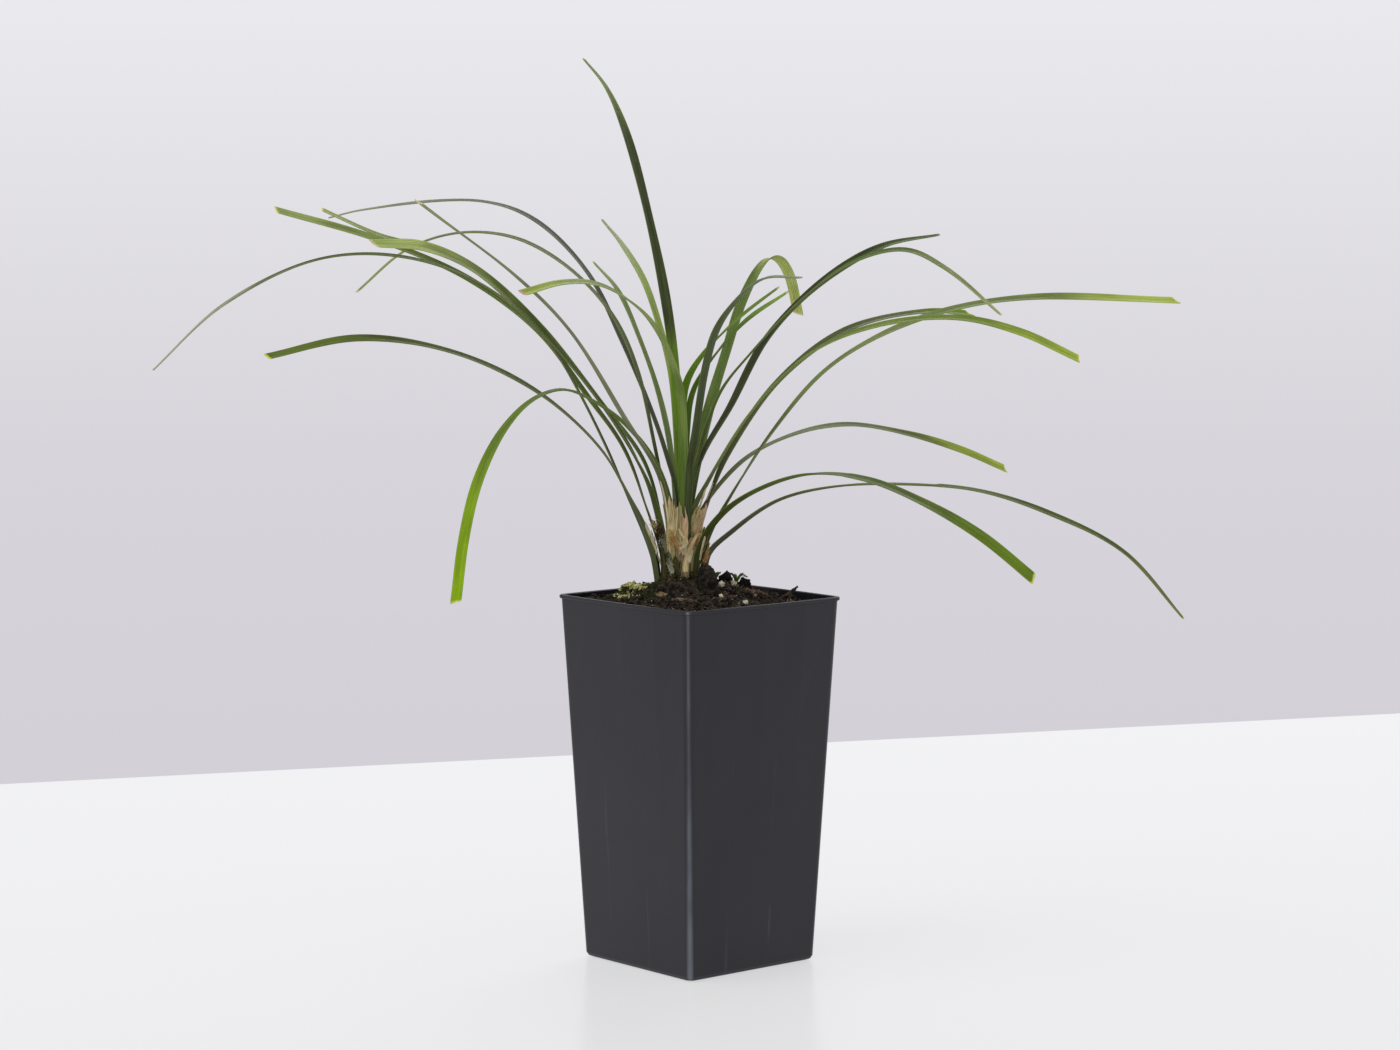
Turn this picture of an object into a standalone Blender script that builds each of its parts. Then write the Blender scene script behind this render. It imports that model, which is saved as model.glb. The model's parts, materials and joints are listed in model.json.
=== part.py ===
"""Potted mondo grass: a square plastic tube pot, its potting mix with moss, bark and perlite,
and a clump of narrow arching leaves on one crown wrapped in old papery sheaths.

Sizes are in millimetres and are turned into metres where a mesh is made. +Z is up, the origin is the
middle of the pot's underside, and the pot's sides lie along X and Y. The plant is laid out in its own
plan: +X to the right and +Y away from someone who looks at the pot's front corner.
"""

import math
import random

import bmesh
import bpy
from mathutils import Matrix, Vector, noise

MM = 0.001
CLEARANCE = 0.3

POT_HEIGHT = 126.3
RIM_WIDTH = 70.0
BASE_WIDTH = 56.8
WALL = 0.8
FLOOR = 1.2
RIM_CORNER = 2.9
BASE_CORNER = 2.2
LIP_HEIGHT = 1.2
LIP_PROUD = 0.5
SIDE_BULGE = 0.9
DRAIN_HOLE_RADIUS = 4.0
DRAIN_HOLE_OFFSET = 14.0
CORNER_STEPS = 5
SIDE_STEPS = (-0.55, 0.0, 0.55)
BASE_ROUND = 1.5
EDGE_ROUND = 0.25
WALL_LEVELS = (42.0, 84.0)

SOIL_EDGE = 122.2
MOUND_HEIGHT = 8.6
MOUND_MIDDLE = (-3.0, 3.0)
MOUND_SPREAD = (19.0, 15.0)
# The lumps of the mix: how high and how wide
LUMPS = ((1.1, 6.5), (0.6, 2.9))
SOIL_RINGS = (0.95, 0.86, 0.75, 0.63, 0.51, 0.39, 0.27, 0.14)

PLANT_TURN = math.radians(49.48)
ROOT_HEIGHT = 127.0
ROOT_WIDTH = 2.3
BLADE_THICKNESS = 0.65
BLADE_STEP = 9.0
GUTTER = 0.13
CUT = 1.0
POINTED = 0.28
FULL_FROM = 0.35
TIP_FROM = 0.82
SOCKET_REACH = 36.0

COLOURS = {
    "pot_plastic": ((0.042, 0.042, 0.050, 1), 0.5),
    "soil": ((0.018, 0.013, 0.010, 1), 0.95),
    "leaf": ((0.105, 0.205, 0.030, 1), 0.45),
    "papery_sheath": ((0.46, 0.33, 0.19, 1), 0.8),
    "bark": ((0.11, 0.060, 0.035, 1), 0.85),
    "perlite": ((0.72, 0.70, 0.64, 1), 0.9),
    "moss": ((0.24, 0.30, 0.045, 1), 0.9),
    "sprout": ((0.30, 0.42, 0.12, 1), 0.5),
}


def leaf(name, root, heading, turn, full, path, width, twist, twist_from=0.0, tip=CUT, slant=1.5,
         step=BLADE_STEP):
    """One leaf. It leaves root (x, y) in the plan on a heading in degrees, which turns by turn degrees
    over its full reach. path lists how far out and how high it is, in mm. twist is in degrees at the tip,
    and starts at the share twist_from of its length. tip is the share of the width left at the tip."""
    return {
        "name": name, "root": root, "heading": math.radians(heading), "turn": math.radians(turn),
        "full": full, "path": ((0, ROOT_HEIGHT), *path), "width": width,
        "twist": math.radians(twist), "twist_from": twist_from, "tip": tip, "slant": slant,
        "step": step,
    }


LEAVES = (
    leaf("leaf_left_1", (-15.4, 4.6), 170, 14, 175,
         ((5, 148), (25, 193), (39, 215), (61, 233), (88, 242), (117, 241), (150, 225), (174, 203)),
         width=2.4, twist=-20, tip=POINTED),
    leaf("leaf_left_2", (-16.2, 1.6), 186, 8, 131,
         ((3, 148), (8, 160), (18, 177), (39, 196), (68, 210), (100, 215), (131, 209)),
         width=3.2, twist=-40),
    leaf("leaf_left_3", (-8.8, -0.4), 206, 14, 88,
         ((0, 149), (6, 170), (18, 185), (31, 194), (42, 198), (54, 195), (66, 185), (76, 169), (82, 150),
          (85.5, 129)),
         width=3.6, twist=-60, twist_from=0.5, step=7.5),
    leaf("leaf_left_4", (-13.4, 6.6), 160, 12, 143,
         ((3, 147), (13, 175), (27, 194), (45, 216), (70, 234), (104, 248), (140, 258)),
         width=2.7, twist=-45, slant=2.5),
    leaf("leaf_left_5", (-10.8, 9.2), 146, 8, 146,
         ((2, 147), (10, 171), (28, 191), (53, 217), (83, 239), (104, 245), (122, 249), (146, 258)),
         width=2.2, twist=-20),
    leaf("leaf_left_6", (-12.6, 3.0), 192, 12, 101,
         ((0, 145), (6, 166), (16, 184), (30, 203), (48, 223), (67, 239), (84, 246), (101, 247)),
         width=5.0, twist=-50, tip=0.6, slant=3.0),
    leaf("leaf_left_7", (-9.6, -3.6), 222, 10, 118,
         ((0, 146), (5, 167), (22, 189), (46, 218), (73, 238), (116, 261)),
         width=2.6, twist=-20),
    leaf("leaf_left_8", (-8.0, 6.6), 142, 4, 160,
         ((0, 160), (4, 173), (10, 187), (24, 213), (39, 236), (62, 254), (87, 261), (142, 258), (159, 255)),
         width=2.2, twist=-20, tip=POINTED),
    leaf("leaf_left_9", (-10.8, 5.8), 152, 14, 124,
         ((1, 155), (6, 180), (12, 203), (21, 221), (37, 237), (58, 248), (80, 250), (100, 244), (119, 229)),
         width=2.1, twist=-20),
    leaf("leaf_middle_1", (-5.4, -2.4), 250, -24, 94,
         ((0, 183), (2, 195), (7, 203), (20, 216), (36, 226), (59, 234), (78, 235), (96, 232)),
         width=2.9, twist=-35),
    leaf("leaf_middle_2", (-6.0, 13.2), 118, -10, 76,
         ((3, 158), (4, 180), (8, 201), (18, 218), (31, 233), (52, 245.5), (75, 254.5)),
         width=2.8, twist=15, tip=POINTED),
    leaf("leaf_middle_3", (-9.0, 12.0), 140, -4, 40,
         ((0, 162), (2, 178), (7, 195), (16, 214), (26, 230), (38, 240)),
         width=2.8, twist=10, tip=POINTED),
    leaf("leaf_middle_4", (-5.4, 6.0), 112, 14, 76,
         ((1, 159), (5, 183), (10, 209), (17, 229), (28, 252), (46, 284), (60, 301), (75, 312)),
         width=4.0, twist=20, tip=POINTED),
    leaf("leaf_middle_5", (-4.0, -4.3), 286, 20, 84,
         ((0, 150), (3, 170), (10, 184), (19, 204), (28, 217), (44, 228), (62, 236), (84, 237)),
         width=2.9, twist=15, tip=POINTED),
    leaf("leaf_middle_6", (-3.6, 10.2), 72, -20, 80,
         ((0, 150), (6, 166), (20, 188), (35, 208), (46, 224), (59, 237), (66, 240.5), (72.5, 239.5),
          (78.4, 233.5), (83.4, 220)),
         width=4.2, twist=-10, step=6),
    leaf("leaf_middle_7", (-5.6, 0.5), 300, 16, 52,
         ((0, 155), (0, 185), (2, 198), (14, 210), (31, 221), (52, 233)),
         width=2.9, twist=50, twist_from=0.45, tip=POINTED),
    leaf("leaf_middle_8", (-4.8, 4.2), 318, 16, 42,
         ((0, 155), (1, 180), (3, 194), (9, 204), (25, 220), (42, 231)),
         width=2.9, twist=50, twist_from=0.45, tip=POINTED),
    leaf("leaf_right_1", (-3.1, 0.7), 328, 14, 114,
         ((0, 159), (3, 173), (12, 196), (24, 210), (44, 229), (62, 241), (80, 245), (94, 239), (113, 224)),
         width=2.7, twist=30, tip=POINTED),
    leaf("leaf_right_2", (-2.2, 7.4), 22, -12, 90,
         ((0, 162), (4, 174), (14, 190), (27, 213), (46, 231.8), (69, 245.2), (90, 249.5)),
         width=4.2, twist=24, tip=POINTED),
    leaf("leaf_right_3", (1.4, 4.6), 2, 12, 168,
         ((1, 143), (9, 159), (24, 182.2), (42, 203), (62, 215.5), (86, 224), (115, 228), (167, 226.5)),
         width=3.1, twist=45, slant=2.5),
    leaf("leaf_right_4", (-2.6, 3.9), 342, 12, 132,
         ((1, 155), (6, 165), (21, 189), (41, 209), (64, 219), (92, 222), (113, 217.4), (133, 208.3)),
         width=3.1, twist=46, twist_from=0.2),
    leaf("leaf_right_5", (0.1, 7.3), 34, -14, 112,
         ((0, 145), (7, 165), (14, 177), (33, 199), (60, 216), (92, 222), (109, 221)),
         width=3.1, twist=30, slant=3.0),
    leaf("leaf_right_6", (-1.4, 11.0), 46, -12, 150,
         ((0, 148), (4, 155), (23, 170), (46, 178), (74, 181), (104, 176.5), (130, 169.5), (151, 161.6)),
         width=3.0, twist=66, twist_from=0.3),
    leaf("leaf_right_7", (-1.4, -1.4), 328, -18, 143,
         ((2, 143), (9, 153), (22, 162), (46, 170), (70, 169.5), (94, 163.5), (119, 154.3), (143, 142)),
         width=3.4, twist=50, twist_from=0.3, slant=2.5),
    leaf("leaf_right_8", (2.2, 1.4), 350, 14, 164,
         ((1, 140), (9, 148), (25, 159), (44, 164), (68, 165), (93, 163), (118, 155), (143, 142), (164, 119)),
         width=3.0, twist=30, tip=POINTED),
)

# Papery sheaths: the leaf each one wraps, how long it is and how wide
SHEATHS = (
    ("leaf_left_2", 17, 4.0), ("leaf_left_4", 21, 3.8), ("leaf_left_3", 30, 4.4), ("leaf_left_7", 27, 3.6),
    ("leaf_middle_1", 31, 4.6), ("leaf_middle_5", 29, 4.0), ("leaf_right_1", 26, 3.8),
    ("leaf_right_7", 15, 4.2), ("leaf_right_8", 11, 3.6), ("leaf_right_3", 19, 4.2),
    ("leaf_right_6", 18, 3.8), ("leaf_middle_6", 28, 4.2), ("leaf_middle_2", 26, 4.0),
    ("leaf_left_8", 25, 3.8), ("leaf_left_5", 22, 3.6),
)
SHEATH_THICKNESS = 0.6
SHEATH_GAP = 1.05
SHEATH_STEP = 4.0
SHEATH_SINK = 5.0
SHEATH_CURL = 0.25
SHEATH_LEAN = 0.5
TAPER_FROM = 0.55
POINT_SHARE = 0.2

# The crown's three lobes: middle and radii in the plan and how far each is raised, then the heights
# of a lobe with their share of the radii
CROWN_LOBES = (
    ((-12.4, 4.2), (5.9, 7.4), -0.8),
    ((-5.8, 4.0), (7.4, 10.8), 0.0),
    ((1.2, 4.0), (6.0, 7.6), -1.6),
)
LOBE_LEVELS = ((112.0, 0.35), (114.5, 0.66), (119.0, 0.9), (125.0, 1.0), (130.0, 0.96), (133.5, 0.72))
LOBE_SIDES = 14

# Pieces of bark: name, middle in the plan, height, half sizes, turn and tilt in degrees
CHIPS = (
    ("bark_chip_tan", (-12.6, -9.5), 127.6, (2.9, 1.7, 0.9), 25, (12, 8)),
    ("bark_chip_flat", (-5.0, -16.0), 126.1, (5.4, 3.2, 0.9), -8, (-16, 5)),
    ("bark_chip_long", (19.5, -1.5), 127.1, (6.3, 2.5, 1.1), -24, (8, 14)),
    ("bark_chip_jagged_1", (9.2, 9.6), 130.8, (3.1, 1.5, 2.4), 15, (8, -30)),
    ("bark_chip_jagged_2", (15.6, 10.4), 129.4, (2.9, 1.4, 1.9), -35, (-10, 20)),
    ("bark_chip_back", (-9.0, 21.0), 126.0, (4.6, 2.6, 1.0), 50, (14, -6)),
    ("bark_chip_left", (-29.5, -3.5), 124.8, (3.6, 2.0, 0.9), 70, (-8, 12)),
)
LUMP = ("soil_lump", (2.6, -8.0), 131.0, (4.2, 3.6, 6.4), 10, (6, -8))
CHIP_SIDES = 7
# A chip's height as a share of its half thickness, and how much of its outline it has there
CHIP_PROFILE = ((-1.0, 0.72), (-0.45, 1.0), (0.4, 0.96), (1.0, 0.66))

# Perlite grains: middle in the plan, height and radius
PERLITE = (
    ((7.6, -3.6), 130.6, 1.5), ((12.0, 2.6), 130.3, 1.4), ((7.6, -12.5), 127.4, 1.1),
    ((15.6, -14.0), 125.5, 1.3),
    ((-23.5, -5.5), 126.6, 1.2), ((-22.0, -9.0), 126.0, 1.0), ((2.0, 24.0), 126.0, 1.3),
)

MOSS_SIDES = 20
MOSS_LEVELS = (-78, -52, -26, 0, 26, 52, 78)
# Moss cushions: name, middle in the plan, height and half sizes
MOSS = (
    ("moss_left", (-23.6, 5.5), 127.1, (4.2, 8.4, 2.2)),
    ("moss_right", (14.2, 19.4), 125.8, (4.0, 3.6, 1.9)),
)

# Weed seedlings: name, foot in the plan, height of the foot, and each tiny leaf as heading, length and rise
SPROUTS = (
    ("sprout_1", (12.9, 13.6), 127.2, ((20, 2.6, 3.0), (200, 2.2, 3.2), (110, 1.8, 2.6))),
    ("sprout_2", (5.8, 14.6), 128.4, ((340, 1.8, 2.2), (150, 2.0, 2.5), (60, 1.6, 2.0))),
)
SPROUT_STALK = 0.45
SPROUT_THICKNESS = 0.6
STALK_TOP = 2.6
STALK_SUNK = 3.0
# Half the width of a seedling's leaf along its length
SPROUT_OUTLINE = ((0.0, 0.30), (0.35, 0.55), (0.7, 0.48), (1.0, 0.14))

# The stick's course in the plan with its height, and its radius there
TWIG = ((26.2, -4.2, 124.4, 0.75), (30.2, 1.8, 126.2, 0.68), (34.0, 6.8, 128.6, 0.42))


def clear_scene():
    for old in list(bpy.data.objects):
        bpy.data.objects.remove(old, do_unlink=True)


def make_material(name):
    colour, roughness = COLOURS[name]
    made = bpy.data.materials.new(name)
    made.use_nodes = True
    shader = made.node_tree.nodes["Principled BSDF"]
    shader.inputs["Base Color"].default_value = colour
    shader.inputs["Roughness"].default_value = roughness
    return made


def mesh_object(name, points, faces, material):
    """An object whose points are given in millimetres."""
    mesh = bpy.data.meshes.new(name)
    mesh.from_pydata([Vector(p) * MM for p in points], [], faces)
    mesh.materials.append(MATERIALS[material])
    made = bpy.data.objects.new(name, mesh)
    bpy.context.scene.collection.objects.link(made)
    return made


def face_outwards(made):
    work = bmesh.new()
    work.from_mesh(made.data)
    if work.calc_volume(signed=True) < 0:
        bmesh.ops.reverse_faces(work, faces=work.faces)
    work.to_mesh(made.data)
    work.free()


def in_pot(x, y):
    """A point of the plant's plan as X and Y of the pot."""
    c, s = math.cos(PLANT_TURN), math.sin(PLANT_TURN)
    return x * c - y * s, x * s + y * c


def in_plan(x, y):
    c, s = math.cos(PLANT_TURN), math.sin(PLANT_TURN)
    return x * c + y * s, -x * s + y * c


def skin(rings):
    """Triangles over rings of equal count, closed with a fan at both ends."""
    count = len(rings[0])
    points = [p for ring in rings for p in ring]
    faces = []
    for i in range(len(rings) - 1):
        for j in range(count):
            a, b = i * count + j, i * count + (j + 1) % count
            faces.append((a, b, b + count))
            faces.append((a, b + count, a + count))
    for i, ring in ((0, rings[0]), (len(rings) - 1, rings[-1])):
        middle = sum((Vector(p) for p in ring), Vector()) / count
        points.append(middle)
        hub = len(points) - 1
        for j in range(count):
            edge = (i * count + j, i * count + (j + 1) % count)
            faces.append((hub, *edge) if i else (hub, *reversed(edge)))
    return points, faces


def apply_boolean(made, others, operation):
    """Joins or cuts with a list of objects in one Boolean, and removes them."""
    group = bpy.data.collections.new("operands")
    for other in others:
        group.objects.link(other)
    change = made.modifiers.new(operation.lower(), "BOOLEAN")
    change.operation = operation
    change.operand_type = "COLLECTION"
    change.collection = group
    bpy.context.view_layer.objects.active = made
    bpy.ops.object.modifier_apply(modifier=change.name)
    for other in others:
        bpy.data.objects.remove(other, do_unlink=True)
    bpy.data.collections.remove(group)


# The pot


def square_ring(half, z, bulge=0.0):
    """A square with round corners and slightly bulging sides. The corners are rounder towards the rim."""
    radius = BASE_CORNER + (RIM_CORNER - BASE_CORNER) * max(z, 0) / POT_HEIGHT
    straight = half - radius
    points = []
    for side in range(4):
        turn = Matrix.Rotation(side * math.pi / 2, 3, "Z")
        for step in range(CORNER_STEPS + 1):
            angle = math.radians(-90) + math.pi / 2 * step / CORNER_STEPS
            corner = Vector((straight + radius * math.cos(angle), -straight + radius * math.sin(angle), z))
            points.append(turn @ corner)
        for share in SIDE_STEPS:
            points.append(turn @ Vector((half + bulge * (1 - share * share), straight * share, z)))
    return points


def wall_half(z):
    """Half the pot's outer width at height z, below the lip."""
    top = RIM_WIDTH / 2 - LIP_PROUD
    return BASE_WIDTH / 2 + (top - BASE_WIDTH / 2) * z / POT_HEIGHT


def wall_bulge(z):
    return SIDE_BULGE * (z / POT_HEIGHT) ** 2


def make_pot():
    lip_low = POT_HEIGHT - LIP_HEIGHT
    lip_half = RIM_WIDTH / 2
    outer = [(0.0, wall_half(0) - BASE_ROUND), (0.3 * BASE_ROUND, wall_half(0) - 0.3 * BASE_ROUND)]
    outer += [(z, wall_half(z)) for z in (BASE_ROUND, *WALL_LEVELS, lip_low - EDGE_ROUND)]
    outer += [(lip_low, lip_half - EDGE_ROUND / 2), (lip_low + EDGE_ROUND, lip_half)]
    outer += [(POT_HEIGHT - EDGE_ROUND, lip_half), (POT_HEIGHT, lip_half - EDGE_ROUND)]
    inner = [(POT_HEIGHT, wall_half(POT_HEIGHT) - WALL + EDGE_ROUND)]
    inner_levels = (POT_HEIGHT - EDGE_ROUND, *reversed(WALL_LEVELS), FLOOR + 2 * BASE_ROUND)
    inner += [(z, wall_half(z) - WALL) for z in inner_levels]
    inner += [(FLOOR + BASE_ROUND / 3, wall_half(FLOOR) - WALL - 0.4 * BASE_ROUND)]
    inner += [(FLOOR, wall_half(FLOOR) - WALL - BASE_ROUND)]
    rings = [square_ring(half, z, wall_bulge(z)) for z, half in outer + inner]
    pot = mesh_object("pot", *skin(rings), "pot_plastic")
    face_outwards(pot)
    drills = []
    for x in (-DRAIN_HOLE_OFFSET, DRAIN_HOLE_OFFSET):
        for y in (-DRAIN_HOLE_OFFSET, DRAIN_HOLE_OFFSET):
            bpy.ops.mesh.primitive_cylinder_add(
                vertices=16, radius=DRAIN_HOLE_RADIUS * MM, depth=6 * MM, location=(x * MM, y * MM, 0.5 * MM)
            )
            drills.append(bpy.context.active_object)
    apply_boolean(pot, drills, "DIFFERENCE")
    pot.data.shade_smooth()
    pot.data.set_sharp_from_angle(angle=math.radians(32))
    return pot


# The potting mix


def soil_height(x, y):
    """How high the potting mix is at a point of the plant's plan."""
    dx = (x - MOUND_MIDDLE[0]) / MOUND_SPREAD[0]
    dy = (y - MOUND_MIDDLE[1]) / MOUND_SPREAD[1]
    mound = MOUND_HEIGHT * math.exp(-0.5 * (dx * dx + dy * dy))
    lumps = sum(high * noise.noise(Vector((x, y, wide)) / wide) for high, wide in LUMPS)
    return SOIL_EDGE + mound + lumps


def make_potting_mix(cutters):
    low = FLOOR + CLEARANCE
    rings = [square_ring(wall_half(low) - WALL - CLEARANCE - BASE_ROUND, low, wall_bulge(low))]
    for z in (low + 2 * BASE_ROUND, *WALL_LEVELS, SOIL_EDGE - 3):
        rings.append(square_ring(wall_half(z) - WALL - CLEARANCE, z, wall_bulge(z)))
    outline = square_ring(wall_half(SOIL_EDGE) - WALL - CLEARANCE, SOIL_EDGE, wall_bulge(SOIL_EDGE))
    for share in (1.0, *SOIL_RINGS):
        ring = []
        for p in outline:
            x, y = p.x * share, p.y * share
            z = soil_height(*in_plan(x, y))
            ring.append(Vector((x, y, min(z, POT_HEIGHT - 1.5) if share == 1.0 else z)))
        rings.append(ring)
    mix = mesh_object("potting_mix", *skin(rings), "soil")
    face_outwards(mix)
    apply_boolean(mix, cutters, "DIFFERENCE")
    return mix


# The leaves


def catmull_rom(points, per_span=16):
    """A smooth curve through the points, with a knot spacing that keeps it free of loops."""
    ends = [2 * points[0] - points[1], *points, 2 * points[-1] - points[-2]]
    knots = [0.0]
    for a, b in zip(ends, ends[1:]):
        knots.append(knots[-1] + math.sqrt((b - a).length))
    curve = []
    for i in range(1, len(ends) - 2):
        k0, k1, k2, k3 = knots[i - 1:i + 3]
        p0, p1, p2, p3 = ends[i - 1:i + 3]
        for step in range(per_span):
            t = k1 + (k2 - k1) * step / per_span
            a1 = p0.lerp(p1, (t - k0) / (k1 - k0))
            a2 = p1.lerp(p2, (t - k1) / (k2 - k1))
            a3 = p2.lerp(p3, (t - k2) / (k3 - k2))
            b1 = a1.lerp(a2, (t - k0) / (k2 - k0))
            b2 = a2.lerp(a3, (t - k1) / (k3 - k1))
            curve.append(b1.lerp(b2, (t - k1) / (k2 - k1)))
    curve.append(points[-1].copy())
    return curve


def plan_point(one, reach):
    """Where a leaf is in the plan when it has reached this far, and its heading there."""
    rate = one["turn"] / one["full"]
    start = one["heading"]
    now = start + rate * reach
    x = one["root"][0] + (math.sin(now) - math.sin(start)) / rate
    y = one["root"][1] - (math.cos(now) - math.cos(start)) / rate
    return x, y, now


def centreline(one, step):
    """Points along the middle of a leaf with equal spacing, each with its heading."""
    profile = catmull_rom([Vector((r, h)) for r, h in one["path"]])
    at = [0.0]
    for a, b in zip(profile, profile[1:]):
        at.append(at[-1] + (b - a).length)
    length = at[-1]
    count = max(8, round(length / step))
    line = []
    span = 0
    for i in range(count + 1):
        want = length * i / count
        while span < len(at) - 2 and at[span + 1] < want:
            span += 1
        share = (want - at[span]) / (at[span + 1] - at[span])
        reach, height = profile[span].lerp(profile[span + 1], share)
        x, y, heading = plan_point(one, reach)
        line.append((Vector((x, y, height)), heading))
    return line, length


def frames_of(one, line):
    """The middle, side and upper face directions at each point of a leaf, turned into the pot's axes."""
    turn = Matrix.Rotation(PLANT_TURN, 3, "Z")
    found = []
    for i, (middle, heading) in enumerate(line):
        before = line[max(i - 1, 0)][0]
        after = line[min(i + 1, len(line) - 1)][0]
        along = (after - before).normalized()
        flat_side = Vector((-math.sin(heading), math.cos(heading), 0))
        face = along.cross(flat_side).normalized()
        side = face.cross(along).normalized()
        share = max(i / (len(line) - 1) - one["twist_from"], 0) / (1 - one["twist_from"])
        twist = one["twist"] * share * share * (3 - 2 * share)
        turned_side = side * math.cos(twist) + face * math.sin(twist)
        turned_face = face * math.cos(twist) - side * math.sin(twist)
        found.append((turn @ middle, turn @ turned_side, turn @ turned_face, turn @ along))
    return found


def blade_width(one, share):
    """A leaf is narrow at its root, full from a third of its length, and drawn in towards its tip."""
    rise = min(share / FULL_FROM, 1.0)
    width = ROOT_WIDTH + (one["width"] - ROOT_WIDTH) * rise * rise * (3 - 2 * rise)
    if share > TIP_FROM:
        width *= 1 - (1 - one["tip"]) * ((share - TIP_FROM) / (1 - TIP_FROM)) ** 1.6
    return width


def blade_ring(frame, half, channel, thick, slant=0.0):
    """Six points across a blade: a shallow gutter above and the same gutter below, thick to each side."""
    middle, side, face, along = frame
    left = middle - side * half + face * channel - along * slant / 2
    right = middle + side * half + face * channel + along * slant / 2
    return [
        left + face * thick, middle + face * thick, right + face * thick,
        right - face * thick, middle - face * thick, left - face * thick,
    ]


def make_leaf(one):
    line, _ = centreline(one, one["step"])
    frames = frames_of(one, line)
    rings = []
    for i, frame in enumerate(frames):
        share = i / (len(frames) - 1)
        width = blade_width(one, share)
        slant = one["slant"] if one["tip"] > POINTED and i == len(frames) - 1 else 0.0
        half_thick = BLADE_THICKNESS / 2
        rings.append(blade_ring(frame, width / 2, GUTTER * width, half_thick, slant))
    made = mesh_object(one["name"], *skin(rings), "leaf")
    face_outwards(made)
    return made


def make_socket(one):
    """The lower end of a leaf, larger by the clearance on every side."""
    line, length = centreline(one, one["step"])
    upto = int(len(line) * SOCKET_REACH / length) + 2
    frames = frames_of(one, line)[:upto]
    rings = []
    for i, frame in enumerate(frames):
        share = i / (len(line) - 1)
        width = blade_width(one, share)
        if i == 0:
            frame = (frame[0] - frame[3] * CLEARANCE, *frame[1:])
        grown = BLADE_THICKNESS / 2 + CLEARANCE
        rings.append(blade_ring(frame, width / 2 + CLEARANCE, GUTTER * width, grown))
    made = mesh_object("socket", *skin(rings), "leaf")
    face_outwards(made)
    return made


# The crown


def make_lobe(middle, radii, lift, grow=0.0):
    turn = Matrix.Rotation(PLANT_TURN, 3, "Z")
    rings = []
    for z, share in LOBE_LEVELS:
        low = -grow if z == LOBE_LEVELS[0][0] else 0.0
        ring = []
        for step in range(LOBE_SIDES):
            angle = 2 * math.pi * step / LOBE_SIDES + lift / 4
            x = middle[0] + (radii[0] * share + grow) * math.cos(angle)
            y = middle[1] + (radii[1] * share + grow) * math.sin(angle)
            ring.append(turn @ Vector((x, y, z + lift + low)))
        rings.append(ring)
    if grow:
        rings.append([p + Vector((0, 0, 8)) for p in rings[-1]])
    made = mesh_object("lobe", *skin(rings), "papery_sheath")
    face_outwards(made)
    return made


def make_sheath(one, length, width, grow=0.0):
    """A dry strip that hugs the outer face of a leaf and ends in a point."""
    line, _ = centreline(one, SHEATH_STEP)
    upto = int(length / SHEATH_STEP) + 2
    frames = frames_of(one, line)[:upto]
    rings = []
    for i, (middle, side, face, along) in enumerate(frames):
        share = i / (len(frames) - 1)
        narrowing = 1 - (1 - POINT_SHARE) * max(share - TAPER_FROM, 0) / (1 - TAPER_FROM)
        half = width / 2 * narrowing + grow
        offset = BLADE_THICKNESS / 2 + SHEATH_GAP + SHEATH_LEAN * share * share
        sunk = SHEATH_SINK + grow if i == 0 else 0.0
        frame = (middle - face * offset - along * sunk, side, face, along)
        thick = SHEATH_THICKNESS / 2 + grow
        rings.append(blade_ring(frame, half, SHEATH_CURL * width * narrowing, thick))
    made = mesh_object("sheath", *skin(rings), "papery_sheath")
    face_outwards(made)
    return made


def sheath_strips(grow=0.0):
    by_name = {one["name"]: one for one in LEAVES}
    return [make_sheath(by_name[name], length, width, grow) for name, length, width in SHEATHS]


def make_crown():
    lobes = [make_lobe(*lobe) for lobe in CROWN_LOBES]
    crown = lobes[0]
    crown.name = "crown"
    apply_boolean(crown, lobes[1:] + sheath_strips(), "UNION")
    apply_boolean(crown, [make_socket(one) for one in LEAVES], "DIFFERENCE")
    return crown


# What lies on the potting mix


def make_chip(name, middle, height, halves, turn, tilt, grow=0.0, material="bark"):
    """An uneven flake of bark with bevelled edges; grow makes it larger all round."""
    draw = random.Random(name)
    outline = []
    for step in range(CHIP_SIDES):
        angle = 2 * math.pi * (step + draw.uniform(-0.22, 0.22)) / CHIP_SIDES
        outline.append((angle, draw.uniform(0.84, 1.0)))
    x, y = in_pot(*middle)
    place = Matrix.Translation((x, y, height)) @ Matrix.Rotation(PLANT_TURN + math.radians(turn), 4, "Z")
    place = place @ Matrix.Rotation(math.radians(tilt[0]), 4, "X")
    place = place @ Matrix.Rotation(math.radians(tilt[1]), 4, "Y")
    rings = []
    for level, share in CHIP_PROFILE:
        ring = []
        for angle, reach in outline:
            px = (halves[0] * reach * share + grow) * math.cos(angle)
            py = (halves[1] * reach * share + grow) * math.sin(angle)
            pz = (halves[2] + grow) * level
            ring.append(place @ Vector((px, py, pz)))
        rings.append(ring)
    made = mesh_object(name, *skin(rings), material)
    face_outwards(made)
    return made


def make_grain(name, middle, height, radius, grow=0.0):
    draw = random.Random(name)
    bpy.ops.mesh.primitive_ico_sphere_add(subdivisions=1, radius=1.0)
    made = bpy.context.active_object
    made.name = name
    x, y = in_pot(*middle)
    for vertex in made.data.vertices:
        reach = radius * draw.uniform(0.78, 1.0) + grow
        vertex.co = (Vector((x, y, height)) + vertex.co * reach) * MM
    made.data.materials.append(MATERIALS["perlite"])
    return made


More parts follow.
